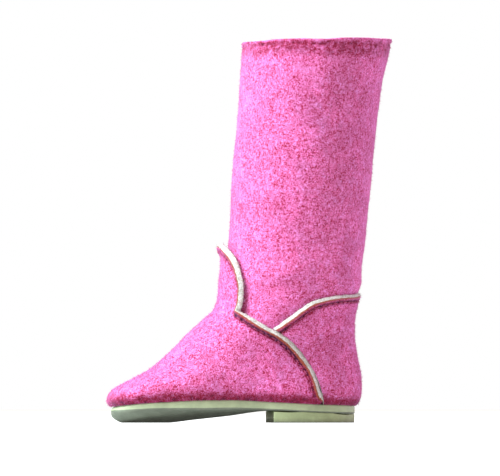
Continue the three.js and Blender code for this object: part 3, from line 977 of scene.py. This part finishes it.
def fleece_material():
    """Cream pile: strands and curls, with painted shade, greyer and warmer, down between the
    tufts and in the hollows between the curls.
    """
    made = Surface("fleece")
    bent = made.noise(700.0, give="Color")
    ends = {0: 0.0012, 4: made.where(), 5: bent}
    warped = made.add("ShaderNodeMix", ends, data_type="VECTOR").outputs[1]
    cells = {"Vector": warped, "Scale": 1100.0, "Randomness": 1.0}
    curls = made.add("ShaderNodeTexVoronoi", cells).outputs["Distance"]
    strands = made.noise(2600.0, 3.0, 0.6, where=warped)
    height = made.maths("SUBTRACT", strands, made.maths("MULTIPLY", curls, 0.6))
    # Painted shade: greyer low between the tufts and darker in the hollows between the curls.
    colour = made.blend(made.ranged(made.attribute("tuft"), 0.05, 0.75), PILE_SHADE_GREY, PILE_CREAM)
    hollow = made.blend(1.0, colour, HOLLOW_SHADE_TONE, "MULTIPLY")
    return made.shaded(
        {
            "Base Color": made.blend(made.ranged(height, 0.0, 0.35), hollow, colour),
            "Roughness": made.ranged(strands, 0.3, 0.7, 1.0, 0.88),
            "Normal": made.bump(height, 0.0005, 0.3),
            "Specular IOR Level": 0.1,
            "Sheen Weight": 0.3,
            "Sheen Roughness": 0.6,
        }
    )


def thread_material():
    """Crimson sewing thread with the twist of its ply."""
    made = Surface("thread")
    twist = {"Vector": made.where(), "Scale": 900.0, "Distortion": 2.5, "Detail": 1.0}
    ply = made.add("ShaderNodeTexWave", twist).outputs[1]
    return made.shaded(
        {
            "Base Color": made.blend(ply, THREAD_DARK, THREAD_LIGHT),
            "Roughness": made.ranged(ply, 0.0, 1.0, 0.75, 0.55),
            "Normal": made.bump(ply, 0.0001, 0.6),
        }
    )


def sole_material(name, light, dark, grain):
    """Moulded sole sheet: mottled, finely pitted and streaked, and greyer just over the floor."""
    made = Surface(name)
    broad = made.noise(160.0, 4.0, 0.6)
    pits = made.noise(grain, 2.0, 0.55)
    level = made.add("ShaderNodeMapping", {"Vector": made.where(), "Scale": (0.25, 0.25, 1.0)})
    streaks = made.noise(900.0, where=level.outputs[0])
    colour = made.blend(made.ranged(broad, 0.3, 0.7), dark, light)
    colour = made.blend(made.ranged(streaks, 0.55, 0.75, 0.0, 0.3), colour, dark)
    height = made.add("ShaderNodeSeparateXYZ", {0: made.where()}).outputs[2]
    height = made.maths("ADD", height, made.maths("MULTIPLY", broad, 0.0012))
    rough = made.maths("ADD", pits, made.maths("MULTIPLY", streaks, 0.5))
    return made.shaded(
        {
            "Base Color": made.blend(made.ranged(height, 0.0008, 0.0022, 0.5, 0.0), colour, SOLE_GRIME),
            "Roughness": made.ranged(pits, 0.3, 0.7, 0.72, 0.48),
            "Normal": made.bump(rough, 0.00012, 0.5),
            "Specular IOR Level": 0.35,
        }
    )


# What the operators make for one another, by name
MATERIALS = {}
SURFACES = {}
PANELS = {}


def made_before(store, name, maker):
    """What an earlier operator made, or a plain error that says which one to run first."""
    if name not in store:
        raise RuntimeError(f"{name} isn't made yet: run {maker} first")
    return store[name]


def make_materials():
    """Every material, from the sidebar's colours and the detail colours above."""
    chosen = bpy.context.scene.boot_colours
    cloth = {"Deep": tuple(chosen.nap_deep), "Body": tuple(chosen.cloth), "Tip": tuple(chosen.nap_tip)}
    group = nap_group()
    for name, grain in SUEDE_GRAINS.items():
        MATERIALS[name] = suede("suede_" + name, group, cloth, grain)
    MATERIALS["nap"] = nap_material(cloth)
    MATERIALS["cut"] = cut_edge_material()
    MATERIALS["fleece"] = fleece_material()
    MATERIALS["thread"] = thread_material()
    light, dark = tuple(chosen.sole), tuple(chosen.sole_dark)
    light_lift, dark_lift = (tuple(a * b for a, b in zip(each, LIFT_TONE)) for each in (light, dark))
    MATERIALS["sole"] = sole_material("sole_edge", light, dark, SOLE_GRAIN)
    MATERIALS["lift"] = sole_material("heel_edge", light_lift, dark_lift, SOLE_GRAIN)
    MATERIALS["under"] = sole_material("sole_underside", UNDERSIDE_LIGHT, UNDERSIDE_DARK, UNDERSIDE_GRAIN)


# The pieces


def full_turn(count):
    """Even angles round a full turn."""
    return np.arange(count) * 2 * math.pi / count


def shaft_points(around, rows):
    """The suede shell: up the outer face, over a rolled rim by a half circle, and down just
    inside, with the rim's line waving a little."""
    thick, roll, rim_steps = 0.75, 0.38, steps(9)[1:-1]
    top = COLLAR_HEIGHT - roll
    up = mix(FEATHER, top, steps(rows) ** 0.95)
    down_inside = up[::-2]
    turn = math.pi * rim_steps
    z = np.concatenate((up, top + roll * np.sin(turn), down_inside))
    inset = np.concatenate((0 * up, thick / 2 * (1 - np.cos(turn)), 0 * down_inside + thick))[:, None]
    outside = np.concatenate((0 * up + 1, mix(1, 0, rim_steps), 0 * down_inside))[:, None]
    z, theta = np.meshgrid(z, full_turn(around), indexing="ij")
    points = face(theta, z)
    below = COLLAR_HEIGHT - z
    lip = 0.12 * bell(below, 0.5, 0.5) - 0.16 * bell(below, 1.7, 0.55)
    move = (folds(theta, z) + unevenness(points)) * smooth(0, 1, outside) + lip * outside
    ring = np.stack((np.cos(theta), np.sin(theta), 0 * theta), -1) * 2.4 + 7
    wave = 0.35 * noise(ring, 1.0, seed=8) * smooth(100, COLLAR_HEIGHT, z)
    z = np.clip(z + wave, FEATHER, COLLAR_HEIGHT)
    return stand_off(theta, z, move - inset), outside


def make_shaft():
    """The suede upper, darker in uneven bands under its rim, with painted shade in the crease
    under its rolled lip and over the sole, and a broader darker band below the lip.
    """
    around, rows = SHAFT_GRID
    points, outside = shaft_points(around, rows)
    quads, _ = grid_faces(points.shape[0], around, True, True)
    below = COLLAR_HEIGHT - points[..., 2] + 0.5 * noise(points, 3.0, seed=14)
    # Painted shade in the crease under the rolled lip, and a broader darker band below it.
    band = 0.3 * bell(below, 1.5, 0.7) + 0.42 * bell(below, 3.2, 2.6)
    band = band * (1 + 0.8 * noise(points, 0.8, seed=15))
    # Painted shade under the rim and over the sole.
    seam = np.maximum(band, painted_shade_over_sole(points)) * outside
    SURFACES["shaft"] = points[:rows]
    shades = {"seam": seam, "rim": 0 * seam}
    add_piece("suede_upper", points, quads, ["shaft"], ["upper"], attributes=shades)


def make_lining():
    """The pile: a smooth back against the suede, a rolled rim, and a face towards the foot
    with tufts in three sizes."""
    around, rows = LINING_GRID
    top, back, roll = COLLAR_HEIGHT - 0.25, 0.85, 0.5
    cells, rim_steps = PILE_CELLS_ROUND, steps(8)[1:-1]
    face_rows = mix(top - roll, FEATHER + 0.6, steps(rows))
    back_rows = mix(FEATHER + 0.3, top - 0.4, steps(12))
    turn = math.pi * rim_steps
    z = np.concatenate((back_rows, top - roll + roll * np.sin(turn), face_rows))
    over_rim = mix(back, WALL, 0.5 - 0.5 * np.cos(turn))
    inset = np.concatenate((0 * back_rows + back, over_rim, 0 * face_rows + WALL))[:, None]
    tufted = np.concatenate((0 * back_rows, rim_steps, 0 * face_rows + 1))[:, None]
    z, theta = np.meshgrid(z, full_turn(around), indexing="ij")
    a, b = theta * cells / (2 * math.pi), z / PILE_CELL_HEIGHT
    big = tufts(a + 0.25 * np.sin(b * 2.1), b, cells, seed=21)
    small = tufts(a * 3, b * 3, cells * 3, seed=22)
    curl = tufts(a * 7, b * 7, cells * 7, seed=23)
    depth = (millimetres("pile_depth") * big + 0.3 * small + 0.12 * curl - 0.85) * tufted
    points = inner_face(theta, z, inset + depth)
    quads, _ = grid_faces(points.shape[0], around, True, True)
    # The tufts' height, which the fleece paints greyer, as shade, down between them.
    tuft = mix(0.6, 0.8 * big + 0.2 * small, smooth(0, 0.8, tufted))
    first = len(back_rows) + 1
    SURFACES["lining"] = points[first : first + int(rows * 0.55)]
    add_piece("fleece_lining", points, quads, ["fleece"], attributes={"tuft": tuft})


def make_vamp():
    """The vamp, lifted over the counter low down, its seam deepest beside the instep and its
    edge rounded at the tongue's tip."""
    columns = vamp_columns(120, 100)
    edge_theta, edge_z = columns.theta[:, -1], columns.z[:, -1]
    tip = np.exp(-((edge_theta / 0.42) ** 4)) * (edge_z > 45)
    vamp = Panel(
        columns,
        thickness=millimetres("cloth_thickness") + 0.15 * tip,
        bevel=1.45 + 0.35 * (1 - smooth(24, 30, edge_z)) - 0.35 * tip,
        seed=31,
        body_rows=52,
        crowding=1.25,
        under=1.05 * (1 - smooth(25.5, 30.5, edge_z)),
        trough=0.36 + 0.8 * bell(edge_z, 25.8, 5.2),
        soft_edge=tip,
    )
    add_panel("suede_vamp", vamp, ["vamp", "cut"], ["vamp"])
    return vamp


def make_counter():
    """The heel counter, thinner and softer edged towards the back."""
    columns = counter_columns(110)
    edge_theta = columns.theta[:, -1]
    back = smooth(math.radians(150), math.pi, np.minimum(edge_theta, 2 * math.pi - edge_theta))
    counter = Panel(
        columns,
        thickness=millimetres("cloth_thickness") - 0.3 - 0.35 * back,
        bevel=1.2 - 0.55 * back,
        seed=41,
        body_rows=40,
        crowding=1.0,
        under=0.0,
        trough=0.42 - 0.22 * back,
        soft_edge=back,
    )
    add_panel("suede_counter", counter, ["counter", "cut"], ["heel_counter"])
    return counter


def sausage(length, radius, sides, rings):
    """A short thread's points, its ends rounded and dipping: circles carried along a low arch,
    and drawn in towards both ends by a fourth power."""
    t = steps(rings)[:, None]
    from_middle = 2 * t - 1
    swell = radius * np.sqrt(np.maximum(0.02, 1 - from_middle**4))
    arch = radius * (1.3 * (1 - from_middle**2) - 0.6)
    angle = full_turn(sides)
    circles = (t - 0.5) * length, swell * np.cos(angle), arch + swell * np.sin(angle)
    return np.stack(np.broadcast_arrays(*circles), -1).reshape(-1, 3)


def stitch_places(panel):
    """Places a pitch apart on a panel's sewn line, with axes along, across and outwards."""
    line = panel.points[panel.stitch_row]
    above = panel.points[panel.stitch_row + 2] - panel.points[panel.stitch_row - 2]
    run = length_along(line[None])[0]
    at = np.arange(STITCHES_FROM_END, run[-1] - STITCHES_FROM_END, millimetres("stitch_pitch"))

    def pick(values):
        return np.stack([np.interp(at, run, values[:, k]) for k in range(3)], -1)

    outwards = pick(unit(np.cross(np.gradient(line, axis=0), above)))
    line = pick(line)
    along = unit(np.gradient(line, axis=0))
    across = unit(np.cross(outwards, along))
    out = np.cross(along, across)
    return line + out * STITCH_LIFT, np.stack((along, across, out), 1)


def make_stitches(panels):
    """One stitch's shape copied to every place: its points times the place's axes."""
    shape = sausage(STITCH_LENGTH, STITCH_RADIUS, STITCH_SIDES, STITCH_RINGS)
    origins, axes = (np.concatenate(both) for both in zip(*map(stitch_places, panels)))
    points = origins[:, None] + np.einsum("njk,ij->nik", axes, shape)
    faces = copied_tubes(STITCH_SIDES, STITCH_RINGS, len(origins))
    add_piece("stitches", points, faces, ["thread"])


def fibre_roots(panel, count, draw):
    """Random places on a panel's cut, axes that lean out at random, and fibre lengths."""
    r = draw.choice(np.flatnonzero(panel.part == CUT), count)
    c = draw.integers(1, panel.points.shape[1] - 1, count)
    along = panel.points[r, c + 1] - panel.points[r, c - 1]
    up = panel.points[r + 1, c] - panel.points[r - 1, c]
    out = unit(np.cross(along, up))
    lean = unit(out + draw.normal(0, 0.75, (count, 3)))
    side = unit(np.cross(lean, draw.normal(0, 1, (count, 3))))
    axes = np.stack((lean, side, np.cross(lean, side)), 1)
    return panel.points[r, c] - ROOT_DEPTH * out, axes, draw.uniform(0.3, 0.95, count)


def make_fibres(panels):
    """Short fibres on the cut edges: blades of three sides, bent by the square of the way up
    and tapered."""
    draw = np.random.default_rng(FIBRE_SEED)
    sides, rings = 3, 4
    places = [fibre_roots(panel, count, draw) for panel, count in zip(panels, CUT_EDGE_FIBRES)]
    roots, axes, lengths = (np.concatenate(column) for column in zip(*places))
    t = steps(rings)[None, :, None]
    angle = full_turn(sides)[None, None]
    length = lengths[:, None, None]
    width = 0.035 * (1 - 0.85 * t)
    bend = 0.35 * length * t**2
    blade = (length * t, width * np.cos(angle) + bend, width * np.sin(angle))
    local = np.stack(np.broadcast_arrays(*blade), -1)
    points = roots[:, None, None] + np.einsum("njk,nrsj->nrsk", axes, local)
    faces = copied_tubes(sides, rings, len(roots))
    add_piece("cut_edge_fibres", points, faces, ["cut"])


def scatter(points, count, draw):
    """Random places spread evenly over a grid of points by its cells' areas, with the
    outward direction and one along direction at each."""
    a, b, c = points[:-1, :-1], points[:-1, 1:], points[1:, :-1]
    area = np.linalg.norm(np.cross(b - a, c - a), axis=-1)
    pick = draw.choice(area.size, count, p=(area / area.sum()).ravel())
    row, column = np.unravel_index(pick, area.shape)
    u, v = draw.random((2, count, 1))
    along, up = (b - a)[row, column], (c - a)[row, column]
    return a[row, column] + u * along + v * up, unit(np.cross(along, up)), unit(along)


def spikes(surfaces, draw, spread, droop, widths, mean_length):
    """Closed three-sided spikes of four points scattered over surfaces, each leaning at random
    off the surface's outward direction, with 0 at a spike's foot and 1 at its point."""
    places = [scatter(points, count, draw) for points, count in surfaces]
    root, out, along = (np.concatenate(column) for column in zip(*places))
    count = len(root)
    lean = unit(out + draw.normal(0, spread, (count, 3)) - (0, 0, droop))
    side = unit(np.cross(lean, along))
    third = np.cross(lean, side)
    angle = full_turn(3)[:, None]
    width = draw.uniform(*widths, (count, 1, 1))
    ring = side[:, None] * np.cos(angle) + third[:, None] * np.sin(angle)
    base = root[:, None] - ROOT_DEPTH * out[:, None] + width * ring
    length = draw.gamma(LENGTH_EVENNESS, mean_length / LENGTH_EVENNESS, (count, 1))
    length = length.clip(0.45 * mean_length, 2.2 * mean_length)
    points = np.concatenate((base, (root + lean * length)[:, None]), 1)
    faces = np.array([(0, 1, 3), (1, 2, 3), (2, 0, 3), (0, 2, 1)])
    return points, repeated(faces, count, 4), np.tile((0, 0, 0, 1), count)


def make_nap(surfaces):
    """The short nap that stands off the suede, leaning a little down."""
    draw = np.random.default_rng(NAP_SEED)
    length = millimetres("nap_length")
    points, faces, tip = spikes(surfaces, draw, 0.55, 0.25, (0.035, 0.075), length)
    add_piece("nap", points, faces, ["nap"], attributes={"tip": tip})


def make_wool():
    """Loose wool over the lining's upper part and its rim, leaning every way."""
    surface = made_before(SURFACES, "lining", "Fleece lining")
    draw = np.random.default_rng(WOOL_SEED)
    points, faces, tip = spikes([(surface, WOOL_FIBRES)], draw, 0.9, 0.0, (0.05, 0.1), 0.8)
    # Painted shade: the fibres greyer at their roots, down in the pile.
    shades = {"tuft": 0.55 + 0.35 * tip}
    add_piece("fleece_fibres", points, faces, ["fleece"], attributes=shades)


def slab_grids(outline, inset, theta, shares, top, bottom, rounding, undercut=0.0):
    """A slab's upper and lower grids: stations round one side's outline, points across from
    it to the other side, and heights eased near the rim by a quarter circle, which grows at
    the toe. The distance from the rim is what the outline's formula lacks of 1, over its
    slope. Under the forefoot the bottom rises by undercut over the last millimetres to it."""
    x, y = outline_point(outline, theta, inset)
    x = np.broadcast_to(x, (len(shares), len(x)))
    across = shares[:, None] * y
    reach, power = half_outline(outline, x > outline["middle"])
    reach, half = reach - inset, outline["half"] - inset
    along, side = np.abs(x - outline["middle"]) / reach, np.abs(across) / half
    measure = np.maximum(1e-6, (along**power + side**power) ** (1 / power))
    slope = np.hypot(along ** (power - 1) / reach, side ** (power - 1) / half) * measure ** (1 - power)
    distance = (1 - measure) / np.maximum(slope, 1e-6)
    lifted = undercut * smooth(48, 68, x) * smooth(3.6, 0.3, distance)
    rounding = mix(rounding, TOE_ROUNDING, smooth(66, 76, x))
    ease = rounding * quarter_round(1 - np.clip(distance / rounding, 0, 1))
    spread = shares[:, None] + 0 * x
    upper = right_foot(x, across, top(x, spread) - ease)
    return upper, right_foot(x, across, bottom(x, spread) + ease + lifted)


def side_angles(start, count):
    """Even angles round one side of an outline, nearly to its ends on the middle plane."""
    return np.linspace(start, math.pi - SLAB_ENDS, count)


def sole_bottom(x, share):
    """The slab's underside: from the keel to the edge by the square of the way out."""
    return np.maximum(0, mix(SOLE_CURVES["keel"](x), SOLE_CURVES["edge"](x), share**2))


def make_slab():
    """The cupped slab of the sole."""

    def top(x, share):
        return SOLE_CURVES["top"](x)

    theta = side_angles(SLAB_ENDS, 260)
    upper, lower = slab_grids(SOLE_OUTLINE, 0, theta, SLAB_SHARES, top, sole_bottom, 0.45, 1.0)
    add_slab("sole_slab", upper, lower, ["sole", "under"], ["outsole"])


def make_lift():
    """The heel lift, from the back to its straight breast."""
    reach = (SOLE_OUTLINE["middle"] - HEEL_BREAST) / (SOLE_OUTLINE["middle"] - SOLE_OUTLINE["back"])
    breast = math.acos(-(reach ** (SOLE_OUTLINE["heel"] / 2)))

    def top(x, share):
        """Against the slab but for a fine gap at the rim near both its ends."""
        ends_open = smooth(18, 24, x) + smooth(10, 6, x)
        return sole_bottom(x, share) - 0.02 - 0.42 * ends_open * smooth(0.8, 0.97, np.abs(share))

    def floor(x, share):
        return 0 * x

    theta = side_angles(breast, 140)
    upper, lower = slab_grids(SOLE_OUTLINE, 0.05, theta, SLAB_SHARES, top, floor, 0.28)
    add_slab("heel_lift_block", upper, lower, ["lift", "under"], ["heel_lift"])


def make_insole():
    """The insole inside the upper, its top covered with pile."""
    inside = section_at(FEATHER)

    def base(x, share):
        return SOLE_CURVES["top"](x) + 0.02

    def top(x, share):
        return base(x, share) + INSOLE_THICKNESS

    theta = side_angles(SLAB_ENDS, 200)
    upper, lower = slab_grids(inside, WALL + GAP, theta, np.linspace(1, -1, 90), top, base, 0.4)
    cells_round = 60
    a, b = upper[..., 0] / INSOLE_CELL, upper[..., 1] / INSOLE_CELL + 20
    small = tufts(a * 3, b * 3, cells_round * 3, seed=52)
    pile = 0.75 * tufts(a, b, cells_round, seed=51) + 0.25 * small
    upper[1:-1, 1:-1, 2] += pile[1:-1, 1:-1] - 0.35
    # The pile's height, which the fleece paints greyer, as shade, down between the tufts.
    shades = {"tuft": np.concatenate((pile.ravel(), 0 * pile.ravel()))}
    add_slab("fleece_insole", upper, lower, ["fleece"], ["insole"], shades)


# The stage


def add_object(name, data):
    """A new object in the scene."""
    made = bpy.data.objects.new(name, data)
    bpy.context.scene.collection.objects.link(made)
    return made


def make_floor():
    """A plain pale floor that looks near white but throws little light back."""
    made = Surface("floor_paint")
    seen = made.add("ShaderNodeLightPath").outputs["Is Camera Ray"]
    paint = made.shaded(
        {
            "Base Color": made.blend(made.noise(30.0), FLOOR_DARK, FLOOR_LIGHT),
            "Emission Color": (1, 1, 1, 1),
            "Emission Strength": made.ranged(seen, 0.0, 1.0, FLOOR_GLOW, FLOOR_GLOW_SEEN),
            "Roughness": 0.9,
            "Specular IOR Level": 0.1,
        }
    )
    mesh = bpy.data.meshes.new("floor")
    corners = [(FLOOR_REACH * x, FLOOR_REACH * y, 0) for x, y in ((-1, -1), (1, -1), (1, 1), (-1, 1))]
    mesh.from_pydata(corners, [], [(0, 1, 2, 3)])
    mesh.materials.append(paint)
    floor = add_object("floor", mesh)


def make_surround():
    """White where the camera sees it, and a dimmer, warmer light for the boot."""
    world = bpy.data.worlds.new("surround")
    bpy.context.scene.world = world
    world.use_nodes = True
    world.node_tree.nodes.clear()
    made = Nodes(world.node_tree)
    seen = made.add("ShaderNodeBackground", {"Color": (1, 1, 1, 1), "Strength": 1.0})
    strength = bpy.context.scene.boot_sizes.ambient
    given = made.add("ShaderNodeBackground", {"Color": opaque(SURROUND_LIGHT), "Strength": strength})
    camera_ray = made.add("ShaderNodeLightPath").outputs["Is Camera Ray"]
    both = made.add("ShaderNodeMixShader", {0: camera_ray, 1: given.outputs[0], 2: seen.outputs[0]})
    made.add("ShaderNodeOutputWorld", {"Surface": both.outputs[0]})


def facing(place, aim):
    """The turn that points a light or camera at a place from where it stands."""
    return (Vector(aim) - Vector(place)).to_track_quat("-Z", "Y")


def make_lights():
    """One broad key light from the front and above, a soft fill and a soft back light."""
    for name, (place, size, share, tint) in LIGHTS.items():
        light = bpy.data.lights.new(name, "AREA")
        light.energy = bpy.context.scene.boot_sizes.key * share
        light.size = size
        light.color = tint
        lamp = add_object(name, light)
        lamp.location = place
        lamp.rotation_euler = facing(place, LIGHT_AIM).to_euler()


def make_camera():
    """The camera at the photograph's angle: the inner side, a little from the front, far off
    and near the floor, and its lens as long as its distance over the picture's width asks."""
    azimuth = bpy.context.scene.boot_sizes.azimuth
    camera = add_object("camera", bpy.data.cameras.new("camera"))
    bpy.context.scene.camera = camera
    x, y = math.sin(azimuth) * CAMERA_DISTANCE, -math.cos(azimuth) * CAMERA_DISTANCE
    place = Vector((x, y, CAMERA_HEIGHT))
    camera.matrix_world = Matrix.Translation(place) @ facing(place, CAMERA_AIM).to_matrix().to_4x4()
    camera.data.sensor_width = SENSOR_WIDTH
    camera.data.lens = SENSOR_WIDTH * CAMERA_DISTANCE / PICTURE_WIDTH
    camera.data.clip_start, camera.data.clip_end = 0.05, 20
    bpy.context.scene.view_settings.view_transform = "Standard"


# The add-on


def metres(name, description, default, low, high):
    """A length for the sidebar."""
    return bpy.props.FloatProperty(
        name=name, description=description, default=default, min=low, max=high, unit="LENGTH"
    )


def linear_colour(name, description, default):
    """A colour for the sidebar."""
    return bpy.props.FloatVectorProperty(
        name=name, description=description, default=default, subtype="COLOR", size=3
    )


class BootSizes(bpy.types.PropertyGroup):
    """Sizes, light and view a user would change."""

    cloth_thickness: metres("Cloth thickness", "Thickness of the lapped vamp", 0.00135, 0.0005, 0.002)
    stitch_pitch: metres("Stitch pitch", "Distance from stitch to stitch", 0.0022, 0.001, 0.006)
    pile_depth: metres("Pile depth", "Depth between the lining's tufts", 0.00135, 0.0, 0.002)
    nap_length: metres("Nap length", "Mean length of the standing nap", 0.00045, 0.0001, 0.001)
    nap_count: bpy.props.IntProperty(
        name="Nap fibres", description="How many fibres stand off the suede", default=41000, min=0
    )
    azimuth: bpy.props.FloatProperty(
        name="View round",
        description="Camera angle round the boot",
        default=math.radians(176),
        subtype="ANGLE",
    )
    key: bpy.props.FloatProperty(
        name="Key light", description="Power of the key light in watts", default=94.0, min=0, unit="POWER"
    )
    ambient: bpy.props.FloatProperty(
        name="Surround", description="Strength of the soft light all round", default=0.39, min=0
    )


class BootColours(bpy.types.PropertyGroup):
    """Colours a user would change."""

    cloth: linear_colour("Cloth", "Body of the suede cloth", (0.78, 0.15, 0.42))
    nap_tip: linear_colour("Nap tips", "Tips of the standing nap", (0.95, 0.37, 0.93))
    nap_deep: linear_colour("Nap roots", "Down between the nap", (0.40, 0.018, 0.05))
    sole: linear_colour("Sole", "The sole's edge", (0.50, 0.59, 0.385))
    sole_dark: linear_colour("Sole, dark", "The sole's darker mottling", (0.375, 0.445, 0.29))


class BOOT_OT_materials(bpy.types.Operator):
    """Makes the boot's materials"""

    bl_idname = "boot.materials"
    bl_label = "Materials"

    def execute(self, context):
        make_materials()
        return {"FINISHED"}


class BOOT_OT_upper(bpy.types.Operator):
    """Makes the suede upper with its rolled collar"""

    bl_idname = "boot.upper"
    bl_label = "Suede upper"

    def execute(self, context):
        make_shaft()
        return {"FINISHED"}


class BOOT_OT_lining(bpy.types.Operator):
    """Makes the tufted fleece lining and its loose wool"""

    bl_idname = "boot.lining"
    bl_label = "Fleece lining"

    def execute(self, context):
        make_lining()
        make_wool()
        return {"FINISHED"}


class BOOT_OT_panels(bpy.types.Operator):
    """Makes the lapped vamp and heel counter"""

    bl_idname = "boot.panels"
    bl_label = "Vamp and counter"

    def execute(self, context):
        PANELS["both"] = make_vamp(), make_counter()
        for name, panel in zip(("vamp", "counter"), PANELS["both"]):
            SURFACES[name] = panel.points[panel.part == BODY]
        return {"FINISHED"}


class BOOT_OT_seams(bpy.types.Operator):
    """Makes the stitches and the fibres of the cut edges"""

    bl_idname = "boot.seams"
    bl_label = "Stitches and fibres"

    def execute(self, context):
        panels = made_before(PANELS, "both", "Vamp and counter")
        make_stitches(panels)
        make_fibres(panels)
        return {"FINISHED"}


class BOOT_OT_nap(bpy.types.Operator):
    """Makes the short nap that stands off the suede"""

    bl_idname = "boot.nap"
    bl_label = "Nap"

    def execute(self, context):
        count = context.scene.boot_sizes.nap_count
        surfaces = []
        for name, share in NAP_SHARES.items():
            surfaces.append((made_before(SURFACES, name, "the suede pieces"), int(count * share)))
        make_nap(surfaces)
        return {"FINISHED"}


class BOOT_OT_sole(bpy.types.Operator):
    """Makes the sole, heel lift and insole"""

    bl_idname = "boot.sole"
    bl_label = "Sole"

    def execute(self, context):
        make_slab()
        make_lift()
        make_insole()
        return {"FINISHED"}


class BOOT_OT_stage(bpy.types.Operator):
    """Makes the floor, surround, lights and camera"""

    bl_idname = "boot.stage"
    bl_label = "Stage"

    def execute(self, context):
        make_floor()
        make_surround()
        make_lights()
        make_camera()
        return {"FINISHED"}


class BOOT_PT_panel(bpy.types.Panel):
    """Lists the boot's settings and its operators in the sidebar"""

    bl_idname = "BOOT_PT_panel"
    bl_label = "Doll's boot"
    bl_space_type = "VIEW_3D"
    bl_region_type = "UI"
    bl_category = "Boot"

    def draw(self, context):
        for group in (context.scene.boot_sizes, context.scene.boot_colours):
            for key in group.__annotations__:
                self.layout.prop(group, key)
        for operator in OPERATORS:
            self.layout.operator(operator.bl_idname)


OPERATORS = (
    BOOT_OT_materials,
    BOOT_OT_upper,
    BOOT_OT_lining,
    BOOT_OT_panels,
    BOOT_OT_seams,
    BOOT_OT_nap,
    BOOT_OT_sole,
    BOOT_OT_stage,
)
CLASSES = (BootSizes, BootColours, *OPERATORS, BOOT_PT_panel)


def register():
    """Makes the classes known to Blender and gives the scene their settings."""
    for item in CLASSES:
        bpy.utils.register_class(item)
    bpy.types.Scene.boot_sizes = bpy.props.PointerProperty(type=BootSizes)
    bpy.types.Scene.boot_colours = bpy.props.PointerProperty(type=BootColours)


def unregister():
    """Takes back what register did."""
    del bpy.types.Scene.boot_colours
    del bpy.types.Scene.boot_sizes
    for item in reversed(CLASSES):
        bpy.utils.unregister_class(item)


def main():
    """Makes every piece and the stage in order."""
    register()
    bpy.ops.boot.materials()
    bpy.ops.boot.upper()
    bpy.ops.boot.lining()
    bpy.ops.boot.panels()
    bpy.ops.boot.seams()
    bpy.ops.boot.nap()
    bpy.ops.boot.sole()
    bpy.ops.boot.stage()
    bpy.context.view_layer.update()


if __name__ == "__main__":
    main()
